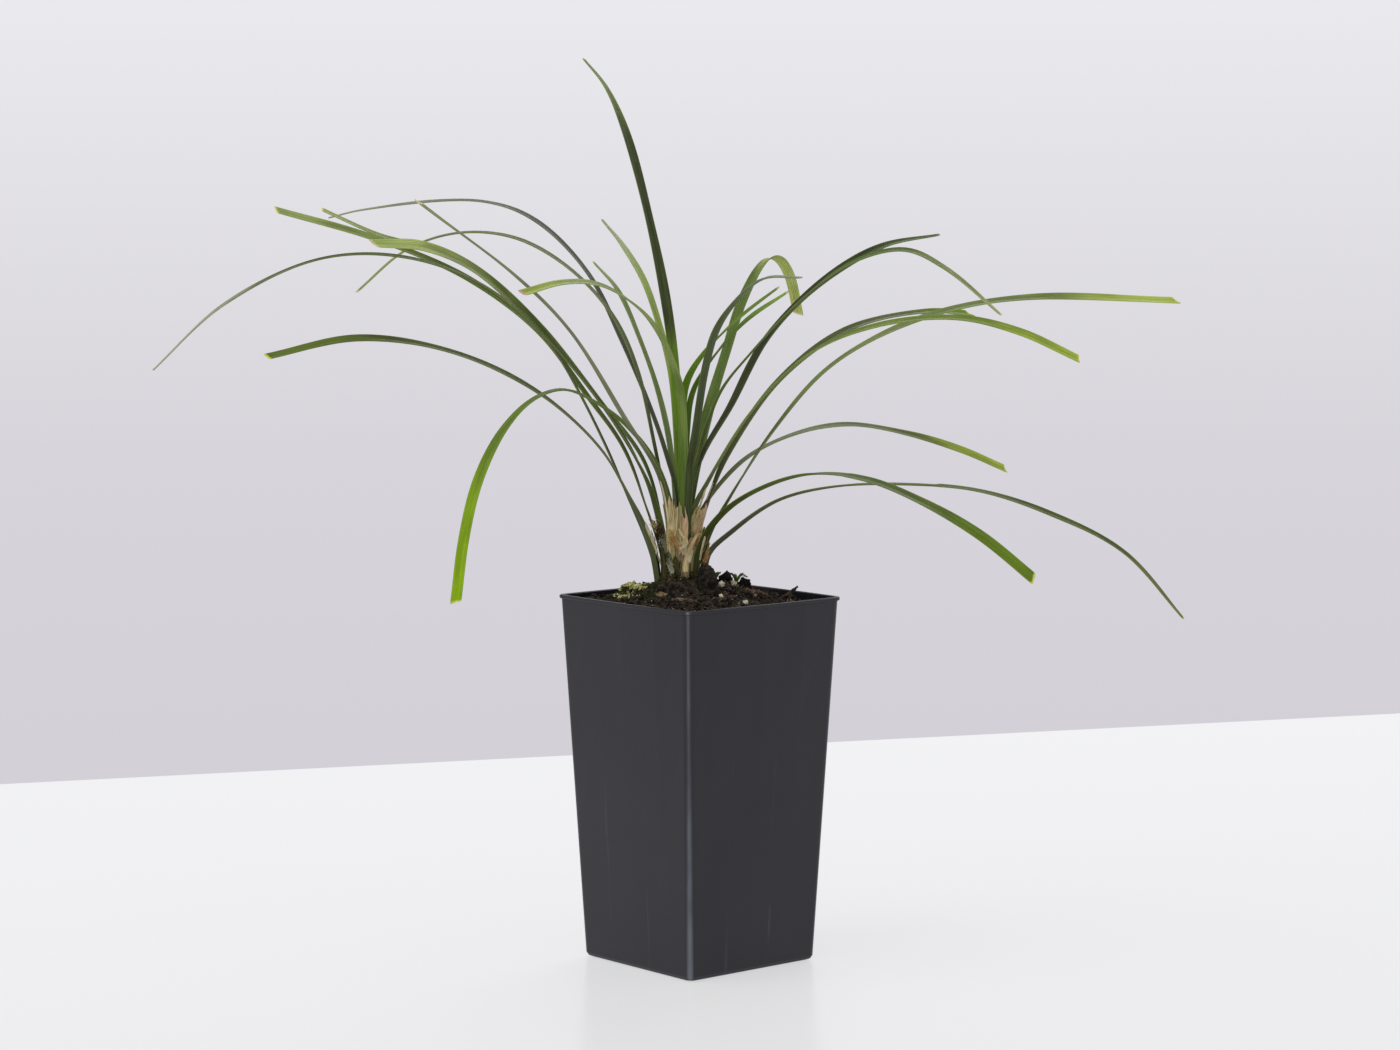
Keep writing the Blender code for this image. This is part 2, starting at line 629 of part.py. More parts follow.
def make_moss(name, middle, height, halves, grow=0.0):
    """A low uneven cushion, with its lower half in a hollow of the potting mix."""
    turn = Matrix.Rotation(PLANT_TURN, 3, "Z")
    rings = []
    for level in MOSS_LEVELS:
        angle_up = math.radians(level)
        ring = []
        for step in range(MOSS_SIDES):
            angle = 2 * math.pi * step / MOSS_SIDES
            reach = math.cos(angle_up) ** 0.7
            uneven = 1 + 0.10 * noise.noise(Vector((math.cos(angle), math.sin(angle), angle_up)) * 2.1)
            px = middle[0] + (halves[0] * reach * uneven + grow) * math.cos(angle)
            py = middle[1] + (halves[1] * reach * uneven + grow) * math.sin(angle)
            bump = 0.22 * noise.noise(Vector((px, py, 3.0)) / 1.9) if level > 0 and not grow else 0.0
            pz = height + (halves[2] + grow) * math.sin(angle_up) + bump
            ring.append(turn @ Vector((px, py, pz)))
        rings.append(ring)
    made = mesh_object(name, *skin(rings), "moss")
    face_outwards(made)
    return made


def make_sprout(name, foot, height, leaves, grow=0.0):
    """A seedling: a short stalk with tiny pointed leaves sunk into it."""
    x, y = in_pot(*foot)
    stalk_rings = []
    for z in (-STALK_SUNK - grow, STALK_TOP):
        radius = SPROUT_STALK + grow
        stalk_rings.append([
            Vector((x + radius * math.cos(a), y + radius * math.sin(a), height + z))
            for a in (2 * math.pi * step / 8 for step in range(8))
        ])
    stalk = mesh_object(name, *skin(stalk_rings), "sprout")
    face_outwards(stalk)
    if grow:
        return stalk
    blades = []
    for heading, length, rise in leaves:
        angle = PLANT_TURN + math.radians(heading)
        out = Vector((math.cos(angle), math.sin(angle), 0))
        side = Vector((-out.y, out.x, 0))
        rings = []
        for share, half in SPROUT_OUTLINE:
            up = STALK_TOP - 0.5 + rise * math.sin(share * 1.7)
            middle = Vector((x, y, height + up)) + out * length * share
            along = (out + Vector((0, 0, rise / length * math.cos(share * 1.7) * 1.7))).normalized()
            face = side.cross(along) * -1
            rings.append(blade_ring((middle, side, face, along), half, 0.08, SPROUT_THICKNESS / 2))
        blade = mesh_object("blade", *skin(rings), "sprout")
        face_outwards(blade)
        blades.append(blade)
    apply_boolean(stalk, blades, "UNION")
    return stalk


def make_twig(grow=0.0):
    """A thin stick that leans from the potting mix towards the pot's corner."""
    line = [Vector((*in_pot(x, y), z)) for x, y, z, _ in TWIG]
    rings = []
    for i, middle in enumerate(line):
        along = (line[min(i + 1, len(line) - 1)] - line[max(i - 1, 0)]).normalized()
        side = along.cross(Vector((0, 0, 1))).normalized()
        up = side.cross(along)
        here = TWIG[i][3] + grow
        if i == 0:
            middle = middle - along * grow
        ring = []
        for step in range(8):
            angle = 2 * math.pi * step / 8
            ring.append(middle + (side * math.cos(angle) + up * math.sin(angle)) * here)
        rings.append(ring)
    made = mesh_object("twig", *skin(rings), "bark")
    face_outwards(made)
    return made


clear_scene()
MATERIALS = {name: make_material(name) for name in COLOURS}
make_pot()
for one_leaf in LEAVES:
    make_leaf(one_leaf)
make_crown()

hollows = [make_lobe(*lobe, grow=CLEARANCE) for lobe in CROWN_LOBES]
hollows += sheath_strips(grow=CLEARANCE)
for chip in CHIPS:
    make_chip(*chip)
    hollows.append(make_chip(*chip, grow=CLEARANCE))
make_chip(*LUMP, material="soil")
hollows.append(make_chip(*LUMP, grow=CLEARANCE))
for number, (spot, level, size) in enumerate(PERLITE, 1):
    make_grain(f"perlite_{number}", spot, level, size)
    hollows.append(make_grain(f"perlite_{number}", spot, level, size, grow=CLEARANCE))
for cushion in MOSS:
    make_moss(*cushion)
    hollows.append(make_moss(*cushion, grow=CLEARANCE))
for seedling in SPROUTS:
    make_sprout(*seedling)
    hollows.append(make_sprout(*seedling, grow=CLEARANCE))
make_twig()
hollows.append(make_twig(grow=CLEARANCE))
make_potting_mix(hollows)
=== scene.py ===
# %% [markdown]
# # A pot of mondo grass
# This lesson dresses a small house plant: a square plastic tube pot, dark potting mix with moss, bark
# and perlite, and a clump of narrow arching leaves on one crown. The solids of the part come in first as
# a fixed frame. Each step then either gives a solid a better finish or puts a finer piece in its place.

# %% Load the frame
import json
import math
import random

import bpy
import numpy as np
from mathutils import Matrix, Vector, noise
from mathutils.bvhtree import BVHTree

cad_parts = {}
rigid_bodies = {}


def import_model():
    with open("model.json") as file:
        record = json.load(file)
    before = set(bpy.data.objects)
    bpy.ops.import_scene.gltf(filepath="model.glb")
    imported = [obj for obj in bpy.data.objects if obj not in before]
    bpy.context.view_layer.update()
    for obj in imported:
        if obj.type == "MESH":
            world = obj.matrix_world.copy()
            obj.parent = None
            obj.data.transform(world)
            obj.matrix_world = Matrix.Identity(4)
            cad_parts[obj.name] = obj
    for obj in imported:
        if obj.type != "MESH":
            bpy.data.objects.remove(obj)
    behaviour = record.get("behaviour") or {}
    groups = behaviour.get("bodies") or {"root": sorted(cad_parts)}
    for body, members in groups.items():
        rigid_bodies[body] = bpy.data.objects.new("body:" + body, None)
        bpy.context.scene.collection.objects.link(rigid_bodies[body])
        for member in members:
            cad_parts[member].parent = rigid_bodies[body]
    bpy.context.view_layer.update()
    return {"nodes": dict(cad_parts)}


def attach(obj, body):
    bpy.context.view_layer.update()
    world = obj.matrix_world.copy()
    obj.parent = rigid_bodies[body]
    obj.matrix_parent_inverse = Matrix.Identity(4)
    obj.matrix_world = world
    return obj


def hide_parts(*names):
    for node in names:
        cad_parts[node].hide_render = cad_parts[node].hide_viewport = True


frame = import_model()
NODES = frame["nodes"]
print("solids in the frame:", len(NODES))

# %% [markdown]
# ## Directions and sizes
# The pot's sides lie along X and Y, but the plant was laid out as someone sees it who looks at the pot's
# front corner: x to the right and y away. One turn about the upright axis takes a point of that plan into
# the pot's axes. Sizes are written in millimetres, as on a drawing, and become metres in the meshes.

# %% Plan and units
MM = 0.001
PLANT_TURN = math.radians(49.48)
TURN_COS, TURN_SIN = math.cos(PLANT_TURN), math.sin(PLANT_TURN)


def in_pot(x, y):
    """A point of the plant's plan as X and Y of the pot, both in mm."""
    return x * TURN_COS - y * TURN_SIN, x * TURN_SIN + y * TURN_COS


def in_plan(x, y):
    """The other way round: a point of the pot as x and y of the plant's plan."""
    return x * TURN_COS + y * TURN_SIN, -x * TURN_SIN + y * TURN_COS


def spot(x, y, z):
    """A point of the plan with its height, in metres and in the pot's axes."""
    return Vector((*in_pot(x, y), z)) * MM


def put_in_scene(name, data):
    made = bpy.data.objects.new(name, data)
    bpy.context.scene.collection.objects.link(made)
    return made


print("the plan is turned by", round(math.degrees(PLANT_TURN), 2), "degrees")

# %% [markdown]
# ## Camera
# The photograph looks at the pot's front corner from a little above, through a long lens. The distance,
# height and tilt come from the pot's own proportions in the picture, for an image of 1400 by 1050.

# %% Set up the camera
IMAGE_WIDTH = 1400
FOCAL_PIXELS = 3514
SENSOR = 36
CAMERA_AWAY, CAMERA_HEIGHT = 1200, 261.7
CAMERA_TILT, CAMERA_SWING = 5.29, -0.013
camera_data = bpy.data.cameras.new("camera")
camera_data.lens = SENSOR * FOCAL_PIXELS / IMAGE_WIDTH
camera_data.sensor_width = SENSOR
camera_data.clip_start = 0.05
camera = put_in_scene("camera", camera_data)
camera.location = spot(0, -CAMERA_AWAY, CAMERA_HEIGHT)
camera.rotation_euler = (math.radians(90 - CAMERA_TILT), 0, PLANT_TURN + math.radians(CAMERA_SWING))
bpy.context.scene.camera = camera
print("lens", round(camera_data.lens, 1), "mm")

# %% [markdown]
# ## Placing shader nodes
# A finish is a small net of nodes. To keep it readable, one helper holds the tree that is being built and
# places nodes in it, so that a finish reads like a sum: times, plus, a soft ramp, a mix of two colours.
# An input takes a plain value or another node's output. What is the same all over a surface, such as its
# gloss, is set on the shader itself.

# %% The helper
def paint(red, green, blue):
    """A colour as a painter reads it, 0 to 255, turned into the linear numbers that Blender works with."""
    linear = [((c / 255 + 0.055) / 1.055) ** 2.4 if c > 10 else c / 3294 for c in (red, green, blue)]
    return (*linear, 1)


class Nodes:
    """Places nodes in one shader tree."""

    def __init__(self, tree):
        self.tree = tree

    def feed(self, socket, value):
        if isinstance(value, bpy.types.NodeSocket):
            self.tree.links.new(value, socket)
        else:
            socket.default_value = value

    def add(self, kind, values=None, **settings):
        """A node with its settings, and with its inputs by name or by number."""
        made = self.tree.nodes.new("ShaderNode" + kind)
        for name, value in settings.items():
            setattr(made, name, value)
        for name, value in (values or {}).items():
            self.feed(made.inputs[name], value)
        return made

    def coordinates(self, kind="Object"):
        """The coordinates of a surface, whole and as its three numbers."""
        whole = self.add("TexCoord").outputs[kind]
        return whole, self.add("SeparateXYZ", {"Vector": whole}).outputs

    def math(self, operation, *values):
        return self.add("Math", dict(enumerate(values)), operation=operation).outputs[0]

    def times(self, first, *others):
        for other in others:
            first = self.math("MULTIPLY", first, other)
        return first

    def plus(self, first, second):
        return self.math("ADD", first, second)

    def minus(self, first, second):
        return self.math("SUBTRACT", first, second)

    def point(self, x, y, z):
        return self.add("CombineXYZ", {"X": x, "Y": y, "Z": z}).outputs[0]

    def ramp(self, value, low, high, to_low=0.0, to_high=1.0, kind="SMOOTHSTEP"):
        """A soft step from low to high."""
        limits = {"Value": value, "From Min": low, "From Max": high, "To Min": to_low, "To Max": to_high}
        return self.add("MapRange", limits, interpolation_type=kind).outputs[0]

    def noise(self, place, scale, detail=2.0, rough=0.5):
        values = {"Vector": place, "Scale": scale, "Detail": detail, "Roughness": rough}
        return self.add("TexNoise", values).outputs["Fac"]

    def grain(self, place, scale, detail=4.0, stretch=(1, 1, 1), rough=0.55):
        """Noise that is stretched along an axis."""
        stretched = self.add("Mapping", {"Vector": place, "Scale": stretch}).outputs[0]
        return self.noise(stretched, scale, detail, rough)

    def mix(self, share, first, second):
        return self.add("Mix", {0: share, 6: first, 7: second}, data_type="RGBA").outputs[2]

    def over(self, colour, *layers):
        """Thin layers of paint over a colour, each with where it lies, its strength and its paint."""
        for share, strength, red_green_blue in layers:
            colour = self.mix(self.times(share, strength), colour, paint(*red_green_blue))
        return colour

    def bump(self, shader, height, depth, strength=0.6):
        made = self.add("Bump", {"Height": height, "Distance": depth, "Strength": strength})
        self.feed(shader.inputs["Normal"], made.outputs[0])


def new_material(name, roughness, specular=0.25):
    """A material with its gloss. It comes with the helper for its nodes and with its shader."""
    made = bpy.data.materials.new(name)
    made.use_nodes = True
    shader = made.node_tree.nodes["Principled BSDF"]
    shader.inputs["Roughness"].default_value = roughness
    shader.inputs["Specular IOR Level"].default_value = specular
    return made, Nodes(made.node_tree), shader


def group_with(name, inputs, outputs):
    """An empty node group: its inputs with their first values, and its outputs with their kinds."""
    made = bpy.data.node_groups.new(name, "ShaderNodeTree")
    for label, value in inputs.items():
        kind = "NodeSocketColor" if isinstance(value, tuple) else "NodeSocketFloat"
        made.interface.new_socket(label, in_out="INPUT", socket_type=kind).default_value = value
    for label, kind in outputs.items():
        made.interface.new_socket(label, in_out="OUTPUT", socket_type="NodeSocket" + kind)
    given, result = made.nodes.new("NodeGroupInput").outputs, made.nodes.new("NodeGroupOutput").inputs
    return made, Nodes(made), given, result


print("node helpers:", [name for name in vars(Nodes) if not name.startswith("_")])

# %% [markdown]
# ## Floor and light
# A pale table, a pale wall behind it and big soft lights: that is how a plant is shown for sale. The
# table ends a little way behind the pot, at a slant. It is so brightly lit that it hardly takes a shadow,
# which is made by letting it glow a little, and its slight gloss mirrors the pot's foot. The world gives
# even light from all round and is seen as the wall, paler above than below. One large lamp high on the
# left shapes the leaves, one behind them makes their edges and tips glow, and a tall slim one in front
# draws the soft line down the pot's rounded corner.

# %% Floor, world and lamps
FLOOR_SIDE = 9.0
FLOOR_BEHIND = 0.443
FLOOR_SLANT = 18.0
FLOOR_DROP = 0.0002
ROOM_LIGHT = 0.55


def clear_selection():
    for chosen in list(bpy.context.selected_objects):
        chosen.select_set(False)


clear_selection()
bpy.ops.mesh.primitive_plane_add(size=FLOOR_SIDE)
floor = bpy.context.active_object
floor.name = "floor"
floor.data.transform(Matrix.Translation((0, FLOOR_BEHIND - FLOOR_SIDE / 2, -FLOOR_DROP)))
floor.data.transform(Matrix.Rotation(PLANT_TURN + math.radians(FLOOR_SLANT), 4, "Z"))
table_top, _, table_shader = new_material("table_top", 0.22, 0.05)
table_shader.inputs["Base Color"].default_value = paint(138, 138, 139)
table_shader.inputs["Emission Color"].default_value = paint(199, 199, 200)
table_shader.inputs["Emission Strength"].default_value = 1.0
floor.data.materials.append(table_top)

world = bpy.data.worlds.new("studio")
bpy.context.scene.world = world
world.use_nodes = True
room = Nodes(world.node_tree)
upward = room.coordinates("Generated")[1]["Z"]
wall = room.add("ValToRGB", {"Fac": room.ramp(upward, -0.15, 0.08, kind="LINEAR")})
wall.color_ramp.elements[0].color = paint(211, 208, 215)
wall.color_ramp.elements[1].color = paint(238, 237, 241)
wall.color_ramp.elements.new(0.35).color = paint(215, 213, 219)
seen = room.add("Background", {"Color": wall.outputs["Color"], "Strength": 1.0})
felt = room.add("Background", {"Color": (1.0, 1.0, 1.02, 1), "Strength": ROOM_LIGHT})
looking = room.add("LightPath").outputs["Is Camera Ray"]
both = room.add("MixShader", {0: looking, 1: felt.outputs[0], 2: seen.outputs[0]})
room.feed(world.node_tree.nodes["World Output"].inputs["Surface"], both.outputs[0])
bpy.context.scene.view_settings.view_transform = "Standard"


def lamp(name, place, aim, width, height, power):
    data = bpy.data.lights.new(name, "AREA")
    data.shape = "RECTANGLE"
    data.size, data.size_y = width, height
    data.energy = power
    made = put_in_scene(name, data)
    made.location = place
    made.rotation_euler = (aim - place).to_track_quat("-Z", "Y").to_euler()
    made.visible_camera = False


lamp("key", spot(-1000, -500, 1400), spot(0, 0, 150), 1.2, 1.2, 9)
lamp("glow", spot(300, 1100, 1300), spot(0, 0, 180), 1.2, 0.8, 9)
lamp("corner_line", spot(-40, -1500, 110), spot(0, 0, 60), 0.10, 0.2, 3.4)

# %% [markdown]
# ## Earthy finishes
# Soil, bark, perlite and moss are all dull, uneven and speckled. One node group mixes three colours by
# blotches and fine specks, and each finish gives it its own colours. Bark adds a fibrous grain along the
# flake, which darkens it and also stands up as its relief.

# %% Speckle and earthy finishes
def build_speckle():
    group, n, given, result = group_with(
        "earthy_speckle",
        {"Dark": (0, 0, 0, 1), "Light": (1, 1, 1, 1), "Speck": (1, 1, 1, 1), "Blotch Size": 300.0,
         "Speck Size": 1500.0, "Speck Share": 0.68},
        {"Colour": "Color", "Height": "Float"})
    place = n.coordinates()[0]
    blotch = n.noise(place, given["Blotch Size"], 5.0, 0.6)
    fine = n.noise(place, given["Speck Size"])
    base = n.mix(n.ramp(blotch, 0.36, 0.64), given["Dark"], given["Light"])
    specks = n.ramp(fine, given["Speck Share"], n.plus(given["Speck Share"], 0.03))
    n.feed(result["Colour"], n.mix(specks, base, given["Speck"]))
    n.feed(result["Height"], n.plus(blotch, fine))
    return group


SPECKLE = build_speckle()
FIBRE_STRETCH = (0.10, 1.0, 0.6)


def earthy(name, dark, light, speck, blotch=300.0, fine=1500.0, share=0.68, roughness=0.9, depth=0.0004,
           lengthways=None):
    """A dull uneven natural finish. Given the way its fibres run, it is bark."""
    made, n, shader = new_material(name, roughness)
    mixed = n.add("Group", {
        "Dark": paint(*dark), "Light": paint(*light), "Speck": paint(*speck),
        "Blotch Size": blotch, "Speck Size": fine, "Speck Share": share,
    }, node_tree=SPECKLE).outputs
    colour, height, strength = mixed["Colour"], mixed["Height"], 0.6
    if lengthways is not None:
        turned = n.add("Mapping", {"Vector": n.coordinates()[0], "Rotation": (0, 0, -lengthways)}).outputs[0]
        height, strength = n.grain(turned, 1500.0, 3.0, FIBRE_STRETCH, 0.65), 0.9
        colour = n.over(colour, (n.ramp(height, 0.50, 0.64), 0.55, dark))
    n.feed(shader.inputs["Base Color"], colour)
    n.bump(shader, height, depth, strength)
    return made


def refinish(node, material):
    """A solid that stays gets a new material in its slots."""
    for each in NODES[node].material_slots:
        each.material = material
    print(node, "is finished as", material.name)


def finish_piece(made, replaced=()):
    """The piece rides on the plant's one body, and the solids it stands for are hidden."""
    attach(made, "root")
    if replaced:
        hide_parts(*replaced)
    print(made.name, "has", sum(len(face.vertices) - 2 for face in made.data.polygons), "triangles")
    return made


print("node groups:", [g.name for g in bpy.data.node_groups])

# %% [markdown]
# ## The pot
# The real pot is thin moulded polypropylene: nearly black with a breath of blue, satin, with a very fine
# grain and a few pale upright rub marks from being pulled out of a stack. Most of what the eye sees on it
# is the bright table mirrored in its sheen. The solid has the right shape, so it stays and only gets this
# finish. The rub marks are narrow soft bands at chosen places on the walls, broken up along their height
# by noise, faint, and they fade out towards the rim. The four upright corners carry a painted highlight:
# a thin pale line, strongest low down, where the plastic is also smoother, found from how far the walls
# lean out.

# %% Charcoal plastic
POT_HEIGHT = 0.1263
RIM_HALF, BASE_HALF = 0.0350, 0.0284
CORNER_INSET = 0.00085
# Below this height the rub marks show, and the painted corner highlight grows stronger
RUBS_AND_HIGHLIGHT_BELOW = 0.085
# Rub marks: the axis across the wall, where on it, half width and strength
RUB_MARKS = (
    ("X", -0.0125, 0.0008, 0.9), ("X", 0.0075, 0.0006, 0.5), ("Y", -0.0125, 0.0009, 0.6),
    ("Y", 0.0065, 0.0008, 1.0), ("X", -0.0010, 0.0004, 0.4),
)


def charcoal_plastic():
    made, n, shader = new_material("charcoal_plastic", 0.42, 0.40)
    place, axes = n.coordinates()
    wavering = n.times(n.minus(n.grain(place, 30.0, 2.0, (0, 0, 1)), 0.5), 0.003)
    broken = n.grain(place, 90.0, 3.0, (1, 1, 0.5))
    marks = 0.0
    for axis, where, wide, strong in RUB_MARKS:
        away = n.math("ABSOLUTE", n.minus(axes[axis], n.plus(wavering, where)))
        marks = n.math("MAXIMUM", marks, n.times(n.ramp(away, wide, 0.0), strong))
    marks = n.times(marks, n.ramp(broken, 0.45, 0.70), n.ramp(axes["Z"], RUBS_AND_HIGHLIGHT_BELOW, 0.045))
    # The corners get a painted highlight: a thin pale line, stronger low down, found from how far the walls
    # lean out
    half = n.ramp(axes["Z"], 0.0, POT_HEIGHT, BASE_HALF, RIM_HALF, kind="LINEAR")
    nearest = n.math("MINIMUM", n.math("ABSOLUTE", axes["X"]), n.math("ABSOLUTE", axes["Y"]))
    corner = n.ramp(n.minus(half, nearest), CORNER_INSET * 2.5, CORNER_INSET * 0.9)
    lower = n.ramp(axes["Z"], RUBS_AND_HIGHLIGHT_BELOW, 0.030, 0.55, 1.0)
    painted_corner_highlight = n.times(corner, lower, n.ramp(broken, 0.30, 0.60, 0.5, 1.0))
    streaky = n.grain(place, 140.0, 3.0, (1, 1, 0.06))
    cloudy = n.grain(place, 22.0, 3.0)
    tone = n.mix(streaky, paint(22, 21, 29), paint(29, 28, 36))
    tone = n.over(tone, (cloudy, 0.35, (18, 20, 28)), (marks, 0.10, (150, 152, 160)),
                  (painted_corner_highlight, 0.44, (132, 136, 148)))
    n.feed(shader.inputs["Base Color"], tone)
    rough = n.minus(n.ramp(cloudy, 0.3, 0.7, 0.34, 0.43), n.times(corner, 0.08))
    n.feed(shader.inputs["Roughness"], n.plus(rough, n.times(marks, 0.10)))
    n.bump(shader, n.plus(n.grain(place, 2600.0, 2.0), n.times(streaky, 2.0)), 0.00003, 0.4)
    return made


refinish("pot", charcoal_plastic())

# %% [markdown]
# ## Potting mix
# Real potting mix is dark, open and crumbly: composted bark fines with some sand. The solid below gives
# the heap's form. Over it goes a thin crust: a fine grid that is laid down on the solid from above and
# roughened with noise. Then loose bits are scattered over it. A few crumbs, clods, flakes and grains are
# modelled from an ico sphere and copied with their own turn and size, each where a ray from above meets
# the heap.

# %% The crust
INNER_HALF = 33.2
INNER_CORNER = 2.8
CRUST_CELLS = 150
CRUST_THICKNESS = 1.2
CRUST_LIFT = 0.30
COARSE_SIZE, COARSE_RELIEF = 2.6, 0.42
FINE_SIZE, FINE_RELIEF = 0.55, 0.16
EDGE_HEIGHT, LOWEST_MIX = 121.5, 119.5
# The pot's round inner corners draw the crust's own corners in by this share. A place counts as a corner by
# how much its longer side falls short of its distance, which is most on the diagonal
CORNER_DRAW = 0.05
MOST_SHORT = 0.29
CORNER_REACH = 44
LOOK_DOWN_FROM = 150.0
# Low heaps of mix against the foot of the plant: middle and spread in the plan, and height
HEAPS = (
    ((-5.8, -5.4), (5.4, 2.5), 3.3), ((-15.0, -0.8), (3.6, 2.8), 2.0), ((-4.0, 16.0), (9.0, 4.0), 1.6),
    ((-13.4, -11.8), (2.4, 1.5), -1.3),
)
mix_finish = earthy("potting_mix", (9, 7, 5), (64, 54, 42), (128, 112, 88), 420.0, 2200.0)
refinish("potting_mix", mix_finish)


def ground_of(*names):
    """A tree of a few solids' faces, which can be asked where a ray from above meets them."""
    points, faces = [], []
    for name in names:
        mesh = NODES[name].data
        start = len(points)
        points += [v.co.copy() for v in mesh.vertices]
        faces += [[start + i for i in face.vertices] for face in mesh.polygons]
    return BVHTree.FromPolygons(points, faces)


BARK_NODES = [n for n in NODES if n.startswith("bark")]
MIX_GROUND = ground_of("potting_mix")
TOP_GROUND = ground_of("potting_mix", "moss_left", "moss_right", *BARK_NODES)
ALL_GROUND = ground_of("potting_mix", "moss_left", "moss_right", "soil_lump", *BARK_NODES)


def ground_height(tree, x, y):
    """How high the ground is at a point of the pot's axes, all in mm."""
    hit = tree.ray_cast(Vector((x, y, LOOK_DOWN_FROM)) * MM, Vector((0, 0, -1)))[0]
    return None if hit is None else hit.z / MM


def inside_pot(x, y, margin=0.0):
    """Whether a point of the pot's axes is inside its walls, round corners included."""
    straight = INNER_HALF - margin - INNER_CORNER
    over_x, over_y = abs(x) - straight, abs(y) - straight
    if over_x > 0 and over_y > 0:
        return math.hypot(over_x, over_y) < INNER_CORNER
    return max(over_x, over_y) < INNER_CORNER


def heaped(x, y):
    """How much higher the crust is than the solid at a point of the pot's axes, in mm."""
    px, py = in_plan(x, y)
    return sum(high * math.exp(-0.5 * (((px - at[0]) / wide[0]) ** 2 + ((py - at[1]) / wide[1]) ** 2))
               for at, wide, high in HEAPS)


def flat_grid(name, across, rows):
    """A flat grid of square outline, from -1 to 1 both ways, to be laid or bent."""
    clear_selection()
    bpy.ops.mesh.primitive_grid_add(x_subdivisions=across, y_subdivisions=rows, size=2)
    made = bpy.context.active_object
    made.name = made.data.name = name
    return made


def thicken(made, thickness, **settings):
    change = made.modifiers.new("thickness", "SOLIDIFY")
    change.thickness = thickness * MM
    for name, value in settings.items():
        setattr(change, name, value)
    bpy.context.view_layer.objects.active = made
    bpy.ops.object.modifier_apply(modifier="thickness")


crust = flat_grid("soil_crust", CRUST_CELLS, CRUST_CELLS)
for vertex in crust.data.vertices:
    x, y = vertex.co.x * INNER_HALF, vertex.co.y * INNER_HALF
    short = 1 - max(abs(x), abs(y)) / max(math.hypot(x, y), 1e-6)
    pull = 1 - CORNER_DRAW * max(0.0, short / MOST_SHORT) ** 3 * (math.hypot(x, y) / CORNER_REACH) ** 4
    x, y = x * pull, y * pull
    z = ground_height(MIX_GROUND, x, y)
    z = EDGE_HEIGHT if z is None else max(z, LOWEST_MIX) + heaped(x, y)
    coarse = noise.fractal(Vector((x, y, 0.0)) / COARSE_SIZE, 0.9, 2.1, 4)
    fine = noise.noise(Vector((x, y, 5.0)) / FINE_SIZE)
    vertex.co = Vector((x, y, z + CRUST_LIFT + COARSE_RELIEF * coarse + FINE_RELIEF * fine)) * MM
thicken(crust, CRUST_THICKNESS, offset=-1)
bpy.ops.object.shade_smooth_by_angle(angle=math.radians(50))
crust.data.materials.append(mix_finish)
finish_piece(crust)


# %% Small things to scatter
def model_of(detail, squash, rough, seed):
    """The corners and faces of one small lump to be copied: an ico sphere, squashed and knocked about."""
    clear_selection()
    bpy.ops.mesh.primitive_ico_sphere_add(subdivisions=detail, radius=1.0)
    lump = bpy.context.active_object
    for vertex in lump.data.vertices:
        shift = 1 + rough * noise.noise(vertex.co * 1.4 + Vector((seed, 0, 0)))
        vertex.co = vertex.co * Vector(squash) * shift
    points = np.array([v.co[:] for v in lump.data.vertices])
    faces = [tuple(face.vertices) for face in lump.data.polygons]
    bpy.data.objects.remove(lump, do_unlink=True)
    return points, faces


def copies_of(name, models, places, material):
    """Copies of small models as one piece. A place is a centre in mm, a size in mm and a turn."""
    points, faces = [], []
    count = 0
    for number, (centre, size, turn) in enumerate(places):
        shape, model_faces = models[number % len(models)]
        points.append(((shape * size) @ np.array(turn.to_matrix()).T + np.array(centre)) * MM)
        faces += [tuple(i + count for i in face) for face in model_faces]
        count += len(shape)
    mesh = bpy.data.meshes.new(name)
    mesh.from_pydata(np.concatenate(points), [], faces)
    mesh.materials.append(material)
    return finish_piece(put_in_scene(name, mesh))


def two_turns(draw, *axes):
    """Two random turns in one, each about an axis and within its limits."""
    first, second = [Matrix.Rotation(draw.uniform(low, high), 3, axis) for axis, low, high in axes]
    return (first @ second).to_quaternion()


def any_turn(draw):
    return two_turns(draw, ("X", 0, 6.28), ("Z", 0, 6.28))


def leaning_turn(draw, lean, all_round=6.28):
    """Any way round, and leaning by no more than this."""
    return two_turns(draw, ("Z", 0, all_round), ("Y", -lean, lean))


def in_oval(middle, halves, reach, angle, turn=0.0):
    """A point of the pot that lies in an oval of the plan, by its reach from 0 to 1 and its angle."""
    x, y = halves[0] * reach * math.cos(angle), halves[1] * reach * math.sin(angle)
    return in_pot(middle[0] + x * math.cos(turn) - y * math.sin(turn),
                  middle[1] + x * math.sin(turn) + y * math.cos(turn))


COVERED_FROM = 0.3


def covered(x, y):
    """Whether a chip, lump or cushion covers a point of the mix."""
    z, top = ground_height(MIX_GROUND, x, y), ground_height(ALL_GROUND, x, y)
    return z is None or top is None or top - z > COVERED_FROM or z < LOWEST_MIX


def scattered(count, seed, margin, place_one, clear=0.0):
    """Random places on the bare mix, this far from the wall and this far clear of every chip or cushion."""
    draw = random.Random(seed)
    around = ((0, 0), (clear, 0), (-clear, 0), (0, clear), (0, -clear)) if clear else ((0, 0),)
    found = []
    while len(found) < count:
        x, y = draw.uniform(-INNER_HALF, INNER_HALF), draw.uniform(-INNER_HALF, INNER_HALF)
        if inside_pot(x, y, margin) and not any(covered(x + a, y + b) for a, b in around):
            found.append(place_one(draw, x, y, ground_height(MIX_GROUND, x, y) + heaped(x, y)))
    return found


print("the mix is", round(ground_height(MIX_GROUND, 0, 0), 1), "mm high in the middle of the pot")


# %% Crumbs, charred clods, flakes of bark and pale grit
def place_crumb(draw, x, y, z):
    size = 0.26 + 1.25 * draw.random() ** 3.0
    return (x, y, z + 0.25 + 0.25 * size), size, any_turn(draw)


